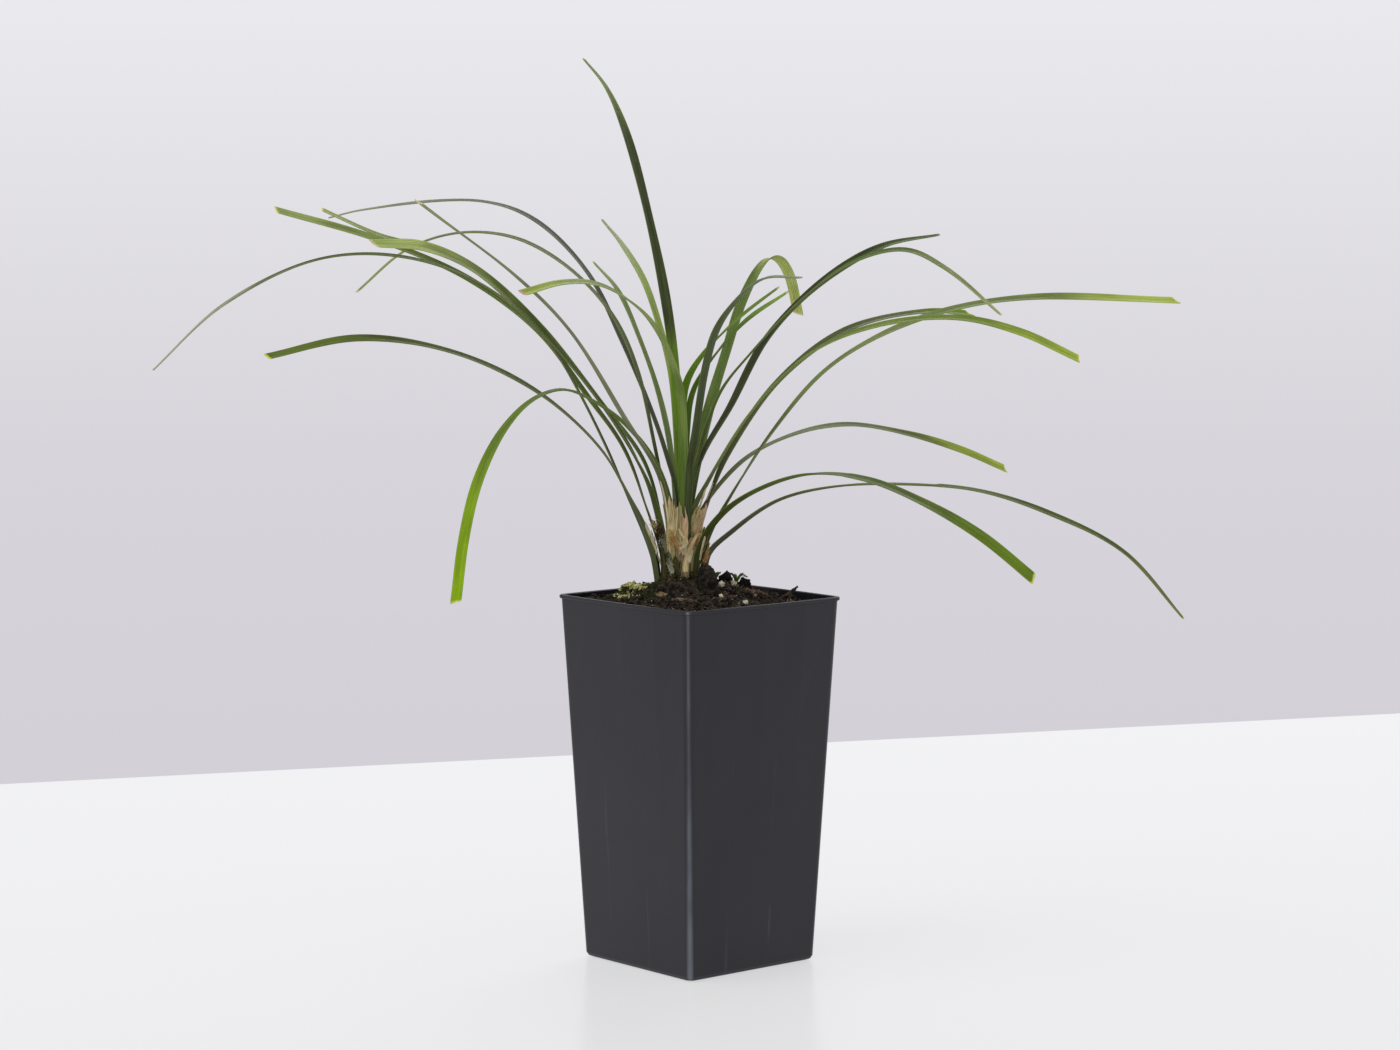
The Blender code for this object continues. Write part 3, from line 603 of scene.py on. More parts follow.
def place_flake(draw, x, y, z):
    size = draw.uniform(0.6, 1.8)
    return (x, y, z + 0.7), size, leaning_turn(draw, 0.6)


def place_grit(draw, x, y, z):
    return (x, y, z + 0.65), draw.uniform(0.10, 0.30), any_turn(draw)


crumb_models = [
    model_of(1, (1.0, 0.8, 0.6), 1.1, 1.0), model_of(1, (1.0, 0.55, 0.45), 1.0, 4.0),
    model_of(2, (1.0, 0.9, 0.7), 1.3, 9.0), model_of(1, (1.0, 0.5, 0.25), 1.0, 6.0),
]
copies_of("soil_crumbs", crumb_models, scattered(2300, 11, 1.2, place_crumb), mix_finish)

# Black clods and scraps of charred bark, which lie on the crumbs: plan, half size
CLODS = (
    ((-15.4, -6.6), 0.7), ((-12.2, -8.0), 0.9), ((-9.4, -9.0), 1.2), ((-6.2, -9.8), 1.3),
    ((-2.8, -11.0), 1.3), ((-8.0, -12.8), 1.0), ((6.8, -11.6), 1.3), ((9.6, -7.4), 1.7),
    ((13.2, -9.0), 1.4), ((11.0, 6.6), 1.8), ((18.6, 6.4), 1.7), ((22.4, 5.0), 1.4),
    ((21.0, -9.0), 1.3), ((-20.0, 10.6), 1.7), ((-14.4, 17.8), 1.9), ((3.0, 19.0), 1.9),
    ((-26.0, -9.4), 1.3), ((27.4, -6.2), 1.3), ((8.4, 25.0), 1.6), ((-2.0, 33.0), 1.8),
    ((-27.0, 11.0), 1.4), ((1.6, -22.6), 1.4), ((-10.4, -20.4), 1.3), ((10.2, -20.6), 1.5),
    ((0.6, -31.6), 1.4), ((-2.4, -37.8), 1.2), ((5.6, -33.4), 1.3), ((-17.4, -15.8), 1.2),
    ((17.0, -18.2), 1.2), ((31.6, 2.4), 1.3),
)
clod_models = [
    model_of(2, (1.0, 0.7, 0.55), 0.9, 21.0), model_of(2, (1.0, 0.55, 0.7), 1.0, 25.0),
    model_of(1, (1.0, 0.45, 0.8), 0.8, 31.0),
]
clod_finish = earthy("charred_clod", (7, 6, 5), (34, 29, 24), (96, 84, 68), 380.0, 1900.0, 0.70)
draw = random.Random(17)
clod_places = []
for middle, size in CLODS:
    x, y = in_pot(*middle)
    z = ground_height(ALL_GROUND, x, y) + heaped(x, y)
    clod_places.append(((x, y, z + 0.35 * size), size, any_turn(draw)))
copies_of("charred_clods", clod_models, clod_places, clod_finish)

# Loose flakes of bark keep clear of the big chips
flake_models = [model_of(1, (1.0, 0.42, 0.16), 0.7, 2.0), model_of(1, (1.0, 0.3, 0.2), 0.6, 7.0)]
flake_finish = earthy("bark_fines", (32, 24, 17), (100, 80, 60), (168, 144, 110), 500.0, 1800.0, 0.62)
copies_of("bark_fines", flake_models, scattered(170, 12, 2.2, place_flake, clear=1.3), flake_finish)

grit_finish = earthy("pale_grit", (150, 138, 116), (210, 202, 182), (240, 236, 224), 900.0, 2600.0, 0.6)
grit_models = [model_of(1, (1.0, 0.85, 0.8), 0.6, 3.0)]
copies_of("pale_grit", grit_models, scattered(170, 13, 1.6, place_grit), grit_finish)


# %% [markdown]
# ## Fine strands
# Root hairs and torn fibres are thin strands. A strand is a curve with a round bevel, and many strands
# share one curve object, which is then turned into a mesh.

# %% Strands
def select_only(made):
    clear_selection()
    made.select_set(True)
    bpy.context.view_layer.objects.active = made


def strands(name, lines, radius, material, taper=0.35):
    """Thin round threads along lines of points in mm, as one piece. They thin out towards their ends."""
    curve = bpy.data.curves.new(name, "CURVE")
    curve.dimensions = "3D"
    curve.bevel_depth = radius * MM
    curve.bevel_resolution = 1
    curve.use_fill_caps = True
    for line in lines:
        spline = curve.splines.new("POLY")
        spline.points.add(len(line) - 1)
        for number, (point, where) in enumerate(zip(spline.points, line)):
            point.co = (*(where * MM), 1)
            point.radius = 1 - (1 - taper) * (number / (len(line) - 1)) ** 2
    select_only(put_in_scene(name, curve))
    bpy.ops.object.convert(target="MESH")
    made = bpy.context.active_object
    made.data.materials.clear()
    made.data.materials.append(material)
    made.data.shade_smooth()
    return finish_piece(made)


def knock(draw, by):
    return Vector([draw.uniform(-by, by) for _ in range(3)])


def wander(draw, start, heading, length, steps, bend, drop=0.0):
    """A wandering line: it starts on a heading and is knocked a little aside at each step."""
    line = [Vector(start)]
    along = Vector(heading).normalized()
    for _ in range(steps):
        along = (along + knock(draw, bend) - Vector((0, 0, drop))).normalized()
        line.append(line[-1] + along * length / steps)
    return line


ROOT_COUNT = 70
ROOT_STEPS = 6


def root_line(draw, x, y, z):
    turn = draw.uniform(0, 6.28)
    heading = (math.cos(turn), math.sin(turn), draw.uniform(0.0, 0.5))
    return wander(draw, (x, y, z + 0.6), heading, draw.uniform(2, 5.5), ROOT_STEPS, bend=0.35, drop=0.10)


root_finish = earthy("root_hair", (58, 42, 32), (112, 86, 62), (150, 124, 92), 600.0, 2400.0, 0.7)
strands("root_hairs", scattered(ROOT_COUNT, 14, 4.0, root_line), 0.09, root_finish)

# %% [markdown]
# ## Bark, perlite and the lump of soil
# Each of these solids already has the right place and size. A copy of the solid's mesh has its doubled
# corners merged, is divided finely and is then roughened by a displacement, so that an even flake turns
# into torn bark or a popped grain. The copy then stands for the solid.

# %% Weathered copies
DOUBLED = 0.00001
INWARDS = 0.35


def weathered(node, levels, depth, size, seed, material, name, sharp=38):
    """A finer, rougher copy of a solid, which then stands for it: how often it is divided, how deep and how
    wide its roughness is in mm, and from how many degrees an edge stays sharp."""
    made = put_in_scene(name, NODES[node].data.copy())
    select_only(made)
    bpy.ops.object.mode_set(mode="EDIT")
    bpy.ops.mesh.select_all(action="SELECT")
    bpy.ops.mesh.remove_doubles(threshold=DOUBLED)
    bpy.ops.object.mode_set(mode="OBJECT")
    finer = made.modifiers.new("finer", "SUBSURF")
    finer.subdivision_type = "SIMPLE"
    finer.levels = finer.render_levels = levels
    bpy.ops.object.modifier_apply(modifier="finer")
    mesh = made.data
    normals = [v.normal.copy() for v in mesh.vertices]
    for vertex, normal in zip(mesh.vertices, normals):
        where = vertex.co / MM
        stretched = Vector((where.x, where.y, where.z * 1.6)) / size + Vector((seed, 0, 0))
        vertex.co += normal * depth * (noise.fractal(stretched, 0.8, 2.2, 3) - INWARDS) * MM
    mesh.materials.clear()
    mesh.materials.append(material)
    mesh.shade_smooth()
    mesh.set_sharp_from_angle(angle=math.radians(sharp))
    return finish_piece(made, [node])


# Each chip's dark, light and speck colour, and the way it lies in the plan, in degrees
BARKS = {
    "bark_chip_tan": ((104, 84, 56), (186, 162, 124), (214, 194, 158), 25),
    "bark_chip_flat": ((58, 50, 44), (122, 106, 92), (150, 134, 116), -8),
    "bark_chip_long": ((38, 28, 21), (100, 78, 62), (146, 120, 100), -24),
    "bark_chip_jagged_1": ((8, 7, 6), (28, 23, 19), (72, 62, 50), 15),
    "bark_chip_jagged_2": ((8, 7, 6), (30, 24, 20), (72, 62, 50), -35),
    "bark_chip_back": ((36, 24, 20), (84, 58, 44), (120, 90, 68), 50),
    "bark_chip_left": ((30, 22, 18), (66, 48, 38), (100, 80, 62), 70),
}
for number, (node, (dark, light, speck, turn)) in enumerate(BARKS.items()):
    finish = earthy(node + "_bark", dark, light, speck, 380.0, 1500.0, 0.66,
                    lengthways=PLANT_TURN + math.radians(turn))
    rough, wide = (0.7, 2.4) if "jagged" in node else (0.5, 1.5)
    weathered(node, 4, rough, wide, number * 7.0, finish, node + "_torn", 24)
lump_finish = earthy("lump_soil", (16, 13, 9), (54, 47, 36), (82, 74, 60), 330.0, 1900.0, 0.66)
weathered("soil_lump", 4, 0.9, 3.4, 3.0, lump_finish, "soil_lump_rough", 40)
twig_finish = earthy("twig_bark", (34, 24, 18), (84, 64, 48), (128, 104, 82), 420.0, 1800.0)
weathered("twig", 3, 0.35, 0.9, 5.0, twig_finish, "twig_rough")
perlite_finish = earthy("popped_perlite", (188, 174, 140), (234, 228, 208), (150, 130, 96), 500.0, 1500.0,
                        0.62, 0.95, 0.0002)
for number in range(1, 8):
    weathered(f"perlite_{number}", 4, 0.42, 1.7, number * 3.0, perlite_finish,
              f"perlite_{number}_popped", 30)

# %% [markdown]
# ## Moss
# The moss on the heap is a low, crusty cushion: lime yellow on the dry side by the shoots and olive where
# it is damp. A cushion is thousands of tiny upright leafy shoots. The solid gives the cushion's body, and
# short pointed tufts, each a cone of a few faces, are set all over it with their tips outwards.

# %% Cushions and tufts
TUFT_SIDES = 4
TUFT_RADIUS = 0.32
TUFT_TIP, TUFT_FOOT = (0.1, 0.0, 1.0), (0, 0, -0.3)
TUFT_TURNS = [6.283 * i / TUFT_SIDES for i in range(TUFT_SIDES)]
TUFT_POINTS = [*((math.cos(a) * TUFT_RADIUS, math.sin(a) * TUFT_RADIUS, 0) for a in TUFT_TURNS),
               TUFT_TIP, TUFT_FOOT]
TUFT_FACES = [(i, (i + 1) % TUFT_SIDES, TUFT_SIDES) for i in range(TUFT_SIDES)]
TUFT_FACES += [(after, i, TUFT_SIDES + 1) for i, after, _ in TUFT_FACES]
MOSS_LIME = earthy("lime_moss", (112, 110, 40), (206, 202, 130), (240, 238, 200), 700.0, 2200.0, 0.60)
MOSS_OLIVE = earthy("olive_moss", (20, 22, 6), (74, 74, 24), (150, 148, 76), 700.0, 2600.0, 0.66)
MOSS_GREEN = earthy("green_moss", (16, 22, 6), (54, 68, 18), (116, 128, 48), 700.0, 2600.0)


def moss_tufts(name, places, size, material, seed):
    """Tufts at the places, each leaning a little off the way out of the surface."""
    draw = random.Random(seed)
    seated = []
    for place, normal in places:
        lean = (normal + knock(draw, 0.5)).normalized()
        seated.append((place, size * draw.uniform(0.6, 1.3), lean.to_track_quat("Z", "Y")))
    copies_of(name, [(np.array(TUFT_POINTS), TUFT_FACES)], seated, material)


def over_solid(made, count, seed):
    """Random places on the upper faces of a piece, with the way out of it."""
    draw = random.Random(seed)
    faces = [f for f in made.data.polygons if f.normal.z > 0]
    found = []
    for face in draw.choices(faces, [f.area for f in faces], k=count):
        corners = [made.data.vertices[i].co for i in face.vertices[:3]]
        a, b = draw.random(), draw.random()
        if a + b > 1:
            a, b = 1 - a, 1 - b
        place = corners[0] + (corners[1] - corners[0]) * a + (corners[2] - corners[0]) * b
        found.append((place / MM, face.normal.copy()))
    return found


for side, seed, count, drawn in (("left", 2.0, 900, 21), ("right", 6.0, 600, 23)):
    cushion = weathered(f"moss_{side}", 3, 1.6, 2.4, seed, MOSS_OLIVE, f"moss_{side}_body", 24)
    moss_tufts(f"moss_{side}_tufts", over_solid(cushion, count, drawn), 0.38, MOSS_OLIVE, drawn + 1)

# %% Crusty patches and thin mats
# The pale crust on the dry side: small flat lobes, crowded in patches. Middle and half sizes in the plan,
# and how many lobes
PATCHES = (
    ((-20.6, -1.4), (3.6, 2.6), 150), ((-23.4, 2.4), (3.0, 3.4), 120), ((-25.6, -4.0), (2.4, 1.5), 46),
    ((-19.6, 5.0), (2.2, 3.6), 60), ((-22.0, -7.6), (2.2, 1.2), 34), ((-28.6, 1.4), (1.6, 1.6), 22),
    ((13.6, 18.6), (2.4, 2.2), 40),
)
lobe_models = [
    model_of(1, (1.0, 0.75, 0.28), 1.3, 41.0), model_of(1, (0.8, 1.0, 0.35), 1.4, 47.0),
    model_of(2, (1.0, 0.9, 0.45), 1.6, 53.0),
]
draw = random.Random(29)
crust_places = []
for middle, halves, count in PATCHES:
    for _ in range(count):
        reach, angle = math.sqrt(draw.random()), draw.uniform(0, 6.283)
        x, y = in_oval(middle, halves, reach, angle)
        z = ground_height(TOP_GROUND, x, y)
        if z is None or not inside_pot(x, y, 1.0):
            continue
        turn = leaning_turn(draw, 0.7, 6.283)
        size = draw.uniform(0.35, 1.0) * (1.15 - 0.5 * reach)
        crust_places.append(((x, y, z + heaped(x, y) + 0.45 + 0.3 * size), size, turn))
copies_of("moss_crust", lobe_models, crust_places, MOSS_LIME)

# Thin mats of moss on the mix: middle in the plan, half sizes, turn, count of tufts and finish
MATS = (
    ("moss_mat_front", (-17.5, -9.5), (4.6, 3.0), 10, 520, MOSS_GREEN),
    ("moss_mat_corner", (-31.5, -3.0), (2.2, 2.6), 0, 260, MOSS_OLIVE),
    ("moss_mat_side", (-23.5, -3.0), (5.0, 3.2), -20, 420, MOSS_OLIVE),
    ("moss_mat_shoot", (-15.5, -3.5), (3.0, 2.0), 0, 200, MOSS_GREEN),
    ("moss_mat_foot", (-7.6, -5.6), (1.8, 1.4), 0, 160, MOSS_GREEN),
    ("moss_mat_back", (14.0, 12.0), (3.5, 3.0), 30, 240, MOSS_GREEN),
    ("moss_mat_far", (-4.0, 27.0), (6.0, 3.5), 15, 360, MOSS_OLIVE),
)
for number, (name, middle, halves, turn, count, finish) in enumerate(MATS):
    draw = random.Random(40 + number)
    spots = []
    while len(spots) < count:
        reach, angle = draw.random() ** 0.6, draw.uniform(0, 6.283)
        x, y = in_oval(middle, halves, reach, angle, math.radians(turn))
        z = ground_height(ALL_GROUND, x, y)
        if z is None or not inside_pot(x, y, 1.0):
            count -= 1
            continue
        spots.append((Vector((x, y, z + heaped(x, y) + 0.35 + 0.5 * (1 - reach))), Vector((0, 0, 1))))
    moss_tufts(name, spots, 0.45, finish, 60 + number)

# %% [markdown]
# ## Leaves: their lines
# Mondo grass leaves are narrow straps that leave the crown steeply, arch over and hang. Each one follows
# a few given points: how far out it has got and how high it is there. A smooth curve goes through
# them, and the leaf's heading turns evenly as it reaches out. These are the same lines as the solids have.

# %% The leaf table
ROOT_HEIGHT = 127.0
ROOT_WIDTH = 2.3
GUTTER = 0.13
CUT = 1.0
POINTED = 0.28
FULL_FROM = 0.35
TIP_FROM = 0.82


def leaf(name, root, heading, turn, full, path, width, twist, twist_from=0.0, tip=CUT, slant=1.5):
    """One leaf: its root in the plan, its heading and how that turns over its full reach, its points of
    reach and height, its width, its twist in degrees and from where, and how its tip ends."""
    return {
        "name": name, "root": root, "heading": math.radians(heading), "turn": math.radians(turn),
        "full": full, "path": ((0, ROOT_HEIGHT), *path), "width": width,
        "twist": math.radians(twist), "twist_from": twist_from, "tip": tip, "slant": slant,
    }


LEAVES = (
    leaf("leaf_left_1", (-15.4, 4.6), 170, 14, 175,
         ((5, 148), (25, 193), (39, 215), (61, 233), (88, 242), (117, 241), (150, 225), (174, 203)),
         width=2.4, twist=-20, tip=POINTED),
    leaf("leaf_left_2", (-16.2, 1.6), 186, 8, 131,
         ((3, 148), (8, 160), (18, 177), (39, 196), (68, 210), (100, 215), (131, 209)),
         width=3.2, twist=-40),
    leaf("leaf_left_3", (-8.8, -0.4), 206, 14, 88,
         ((0, 149), (6, 170), (18, 185), (31, 194), (42, 198), (54, 195), (66, 185), (76, 169), (82, 150),
          (85.5, 129)),
         width=3.6, twist=-60, twist_from=0.5),
    leaf("leaf_left_4", (-13.4, 6.6), 160, 12, 143,
         ((3, 147), (13, 175), (27, 194), (45, 216), (70, 234), (104, 248), (140, 258)),
         width=2.7, twist=-45, slant=2.5),
    leaf("leaf_left_5", (-10.8, 9.2), 146, 8, 146,
         ((2, 147), (10, 171), (28, 191), (53, 217), (83, 239), (104, 245), (122, 249), (146, 258)),
         width=2.2, twist=-20),
    leaf("leaf_left_6", (-12.6, 3.0), 192, 12, 101,
         ((0, 145), (6, 166), (16, 184), (30, 203), (48, 223), (67, 239), (84, 246), (101, 247)),
         width=5.0, twist=-50, tip=0.6, slant=3.0),
    leaf("leaf_left_7", (-9.6, -3.6), 222, 10, 118,
         ((0, 146), (5, 167), (22, 189), (46, 218), (73, 238), (116, 261)),
         width=2.6, twist=-20),
    leaf("leaf_left_8", (-8.0, 6.6), 142, 4, 160,
         ((0, 160), (4, 173), (10, 187), (24, 213), (39, 236), (62, 254), (87, 261), (142, 258), (159, 255)),
         width=2.2, twist=-20, tip=POINTED),
    leaf("leaf_left_9", (-10.8, 5.8), 152, 14, 124,
         ((1, 155), (6, 180), (12, 203), (21, 221), (37, 237), (58, 248), (80, 250), (100, 244), (119, 229)),
         width=2.1, twist=-20),
    leaf("leaf_middle_1", (-5.4, -2.4), 250, -24, 94,
         ((0, 183), (2, 195), (7, 203), (20, 216), (36, 226), (59, 234), (78, 235), (96, 232)),
         width=2.9, twist=-35),
    leaf("leaf_middle_2", (-6.0, 13.2), 118, -10, 76,
         ((3, 158), (4, 180), (8, 201), (18, 218), (31, 233), (52, 245.5), (75, 254.5)),
         width=2.8, twist=15, tip=POINTED),
    leaf("leaf_middle_3", (-9.0, 12.0), 140, -4, 40,
         ((0, 162), (2, 178), (7, 195), (16, 214), (26, 230), (38, 240)),
         width=2.8, twist=10, tip=POINTED),
    leaf("leaf_middle_4", (-5.4, 6.0), 112, 14, 76,
         ((1, 159), (5, 183), (10, 209), (17, 229), (28, 252), (46, 284), (60, 301), (75, 312)),
         width=4.0, twist=20, tip=POINTED),
    leaf("leaf_middle_5", (-4.0, -4.3), 286, 20, 84,
         ((0, 150), (3, 170), (10, 184), (19, 204), (28, 217), (44, 228), (62, 236), (84, 237)),
         width=2.9, twist=15, tip=POINTED),
    leaf("leaf_middle_6", (-3.6, 10.2), 72, -20, 80,
         ((0, 150), (6, 166), (20, 188), (35, 208), (46, 224), (59, 237), (66, 240.5), (72.5, 239.5),
          (78.4, 233.5), (83.4, 220)),
         width=4.2, twist=-10),
    leaf("leaf_middle_7", (-5.6, 0.5), 300, 16, 52,
         ((0, 155), (0, 185), (2, 198), (14, 210), (31, 221), (52, 233)),
         width=2.9, twist=50, twist_from=0.45, tip=POINTED),
    leaf("leaf_middle_8", (-4.8, 4.2), 318, 16, 42,
         ((0, 155), (1, 180), (3, 194), (9, 204), (25, 220), (42, 231)),
         width=2.9, twist=50, twist_from=0.45, tip=POINTED),
    leaf("leaf_right_1", (-3.1, 0.7), 328, 14, 114,
         ((0, 159), (3, 173), (12, 196), (24, 210), (44, 229), (62, 241), (80, 245), (94, 239), (113, 224)),
         width=2.7, twist=30, tip=POINTED),
    leaf("leaf_right_2", (-2.2, 7.4), 22, -12, 90,
         ((0, 162), (4, 174), (14, 190), (27, 213), (46, 231.8), (69, 245.2), (90, 249.5)),
         width=4.2, twist=24, tip=POINTED),
    leaf("leaf_right_3", (1.4, 4.6), 2, 12, 168,
         ((1, 143), (9, 159), (24, 182.2), (42, 203), (62, 215.5), (86, 224), (115, 228), (167, 226.5)),
         width=3.1, twist=45, slant=2.5),
    leaf("leaf_right_4", (-2.6, 3.9), 342, 12, 132,
         ((1, 155), (6, 165), (21, 189), (41, 209), (64, 219), (92, 222), (113, 217.4), (133, 208.3)),
         width=3.1, twist=46, twist_from=0.2),
    leaf("leaf_right_5", (0.1, 7.3), 34, -14, 112,
         ((0, 145), (7, 165), (14, 177), (33, 199), (60, 216), (92, 222), (109, 221)),
         width=3.1, twist=30, slant=3.0),
    leaf("leaf_right_6", (-1.4, 11.0), 46, -12, 150,
         ((0, 148), (4, 155), (23, 170), (46, 178), (74, 181), (104, 176.5), (130, 169.5), (151, 161.6)),
         width=3.0, twist=66, twist_from=0.3),
    leaf("leaf_right_7", (-1.4, -1.4), 328, -18, 143,
         ((2, 143), (9, 153), (22, 162), (46, 170), (70, 169.5), (94, 163.5), (119, 154.3), (143, 142)),
         width=3.4, twist=50, twist_from=0.3, slant=2.5),
    leaf("leaf_right_8", (2.2, 1.4), 350, 14, 164,
         ((1, 140), (9, 148), (25, 159), (44, 164), (68, 165), (93, 163), (118, 155), (143, 142), (164, 119)),
         width=3.0, twist=30, tip=POINTED),
)


# %% Following a leaf
def smooth_curve(points, per_span=16):
    """A smooth curve through the points, with a knot spacing that keeps it free of loops."""
    ends = [2 * points[0] - points[1], *points, 2 * points[-1] - points[-2]]
    knots = [0.0]
    for a, b in zip(ends, ends[1:]):
        knots.append(knots[-1] + math.sqrt((b - a).length))
    curve = []
    for i in range(1, len(ends) - 2):
        k0, k1, k2, k3 = knots[i - 1:i + 3]
        p0, p1, p2, p3 = ends[i - 1:i + 3]
        for step in range(per_span):
            t = k1 + (k2 - k1) * step / per_span
            a1 = p0.lerp(p1, (t - k0) / (k1 - k0))
            a2 = p1.lerp(p2, (t - k1) / (k2 - k1))
            a3 = p2.lerp(p3, (t - k2) / (k3 - k2))
            b1 = a1.lerp(a2, (t - k0) / (k2 - k0))
            b2 = a2.lerp(a3, (t - k1) / (k3 - k1))
            curve.append(b1.lerp(b2, (t - k1) / (k2 - k1)))
    curve.append(points[-1].copy())
    return curve


def leaf_line(one, count):
    """count + 1 evenly spaced points along the middle of a leaf in the plan, each with its heading."""
    profile = smooth_curve([Vector((r, h)) for r, h in one["path"]])
    at = [0.0]
    for a, b in zip(profile, profile[1:]):
        at.append(at[-1] + (b - a).length)
    rate = one["turn"] / one["full"]
    start = one["heading"]
    line = []
    span = 0
    for i in range(count + 1):
        want = at[-1] * i / count
        while span < len(at) - 2 and at[span + 1] < want:
            span += 1
        share = (want - at[span]) / (at[span + 1] - at[span])
        reach, height = profile[span].lerp(profile[span + 1], share)
        now = start + rate * reach
        x = one["root"][0] + (math.sin(now) - math.sin(start)) / rate
        y = one["root"][1] - (math.cos(now) - math.cos(start)) / rate
        line.append((Vector((x, y, height)), now))
    return line, at[-1]


def ease(value, low, high):
    """A soft step: 0 up to the low value and 1 from the high one on."""
    share = min(max((value - low) / (high - low), 0.0), 1.0)
    return share * share * (3 - 2 * share)


def rolled(side, face, angle):
    """A blade's side and face, turned together round its length."""
    return side * math.cos(angle) + face * math.sin(angle), face * math.cos(angle) - side * math.sin(angle)


FROM_PLAN, TO_PLAN = Matrix.Rotation(PLANT_TURN, 3, "Z"), Matrix.Rotation(-PLANT_TURN, 3, "Z")


def leaf_frames(one, count):
    """The middle, the side, the upper face's direction and the way along at each point, in the pot's axes."""
    line = leaf_line(one, count)[0]
    found = []
    for i, (middle, heading) in enumerate(line):
        before, after = line[max(i - 1, 0)][0], line[min(i + 1, count)][0]
        along = (after - before).normalized()
        face = along.cross(Vector((-math.sin(heading), math.cos(heading), 0))).normalized()
        side = face.cross(along).normalized()
        side, face = rolled(side, face, one["twist"] * ease(i / count, one["twist_from"], 1.0))
        found.append([FROM_PLAN @ each for each in (middle, side, face, along)])
    return found


def blade_width(one, share):
    """Narrow at the root, full from a third of the length, and drawn in towards the tip."""
    width = ROOT_WIDTH + (one["width"] - ROOT_WIDTH) * ease(share, 0.0, FULL_FROM)
    if share > TIP_FROM:
        width *= 1 - (1 - one["tip"]) * ((share - TIP_FROM) / (1 - TIP_FROM)) ** 1.6
    return width


BY_NAME = {one["name"]: one for one in LEAVES}
print("leaves:", len(LEAVES), "longest", round(max(leaf_line(one, 8)[1] for one in LEAVES)), "mm")

# %% [markdown]
# ## Leaves: their colour
# A mondo leaf is deep green with fine parallel ribs, a paler edge, and in this plant a bright yellow-green
# outer stretch where light comes through it, which is painted into the leaf's colour as its tip colour.
# Each was trimmed, so its tip has a thin dry edge. The finish reads the leaf's own UV map, where U goes
# across and V along, so that ribs and colours follow the blade round every bend. One node group does this
# for all leaves, and each leaf gives it its own colours, which also hold painted light and shade.

# %% The blade finish
def build_blade_finish():
    group, n, given, result = group_with(
        "ribbed_blade",
        {"Foot": paint(60, 84, 44), "Middle": paint(80, 116, 50), "Tip": paint(120, 160, 50),
         "Dry Edge": paint(206, 190, 130), "Foot Starts": 0.05, "Foot Ends": 0.4, "Tip Starts": 0.6,
         "Length": 150.0, "Ribs": 9.0, "Rib Depth": 0.2, "Seed": 0.0},
        {"Colour": "Color", "Roughness": "Float", "Height": "Float"})
    parts = n.coordinates("UV")[1]
    across, share = parts["X"], parts["Y"]
    millimetres = n.times(share, given["Length"])
    streaks = n.noise(n.point(n.times(across, 9.0), n.times(millimetres, 0.10), given["Seed"]), 1.0, 3.0, 0.6)
    clouds = n.noise(n.point(across, n.times(millimetres, 0.05), given["Seed"]), 1.2, 3.0)
    shifted = n.plus(share, n.times(n.minus(clouds, 0.5), 0.18))
    colour = n.mix(n.ramp(shifted, given["Foot Starts"], given["Foot Ends"]), given["Foot"], given["Middle"])
    # The tip colour paints in the light that comes through the blade's outer stretch
    colour = n.mix(n.ramp(shifted, given["Tip Starts"], 1.0), colour, given["Tip"])
    rib = n.math("MULTIPLY_ADD", n.math("COSINE", n.times(across, given["Ribs"], 6.2832)), 0.5, 0.5)
    off_middle = n.math("ABSOLUTE", n.minus(across, 0.5))
    margin, keel = n.ramp(off_middle, 0.445, 0.492), n.ramp(off_middle, 0.045, 0.0)
    colour = n.over(colour, (rib, given["Rib Depth"], (24, 34, 10)),
                    (n.ramp(streaks, 0.30, 0.72), 0.12, (160, 172, 84)),
                    (n.ramp(clouds, 0.62, 0.34), 0.22, (22, 30, 10)),
                    (margin, 0.24, (158, 168, 88)), (keel, 0.30, (28, 40, 14)))
    dry = n.ramp(n.minus(given["Length"], millimetres), n.math("MULTIPLY_ADD", streaks, 2.4, -0.2), 0.15)
    n.feed(result["Colour"], n.mix(dry, colour, given["Dry Edge"]))
    rough = n.math("MULTIPLY_ADD", streaks, 0.14, 0.42)
    n.feed(result["Roughness"], n.math("MULTIPLY_ADD", dry, 0.3, rough))
    n.feed(result["Height"], n.plus(rib, n.times(streaks, 0.8)))
    return group


BLADE_FINISH = build_blade_finish()
DRY, PINK, AMBER = (206, 196, 150), (192, 164, 140), (204, 204, 92)
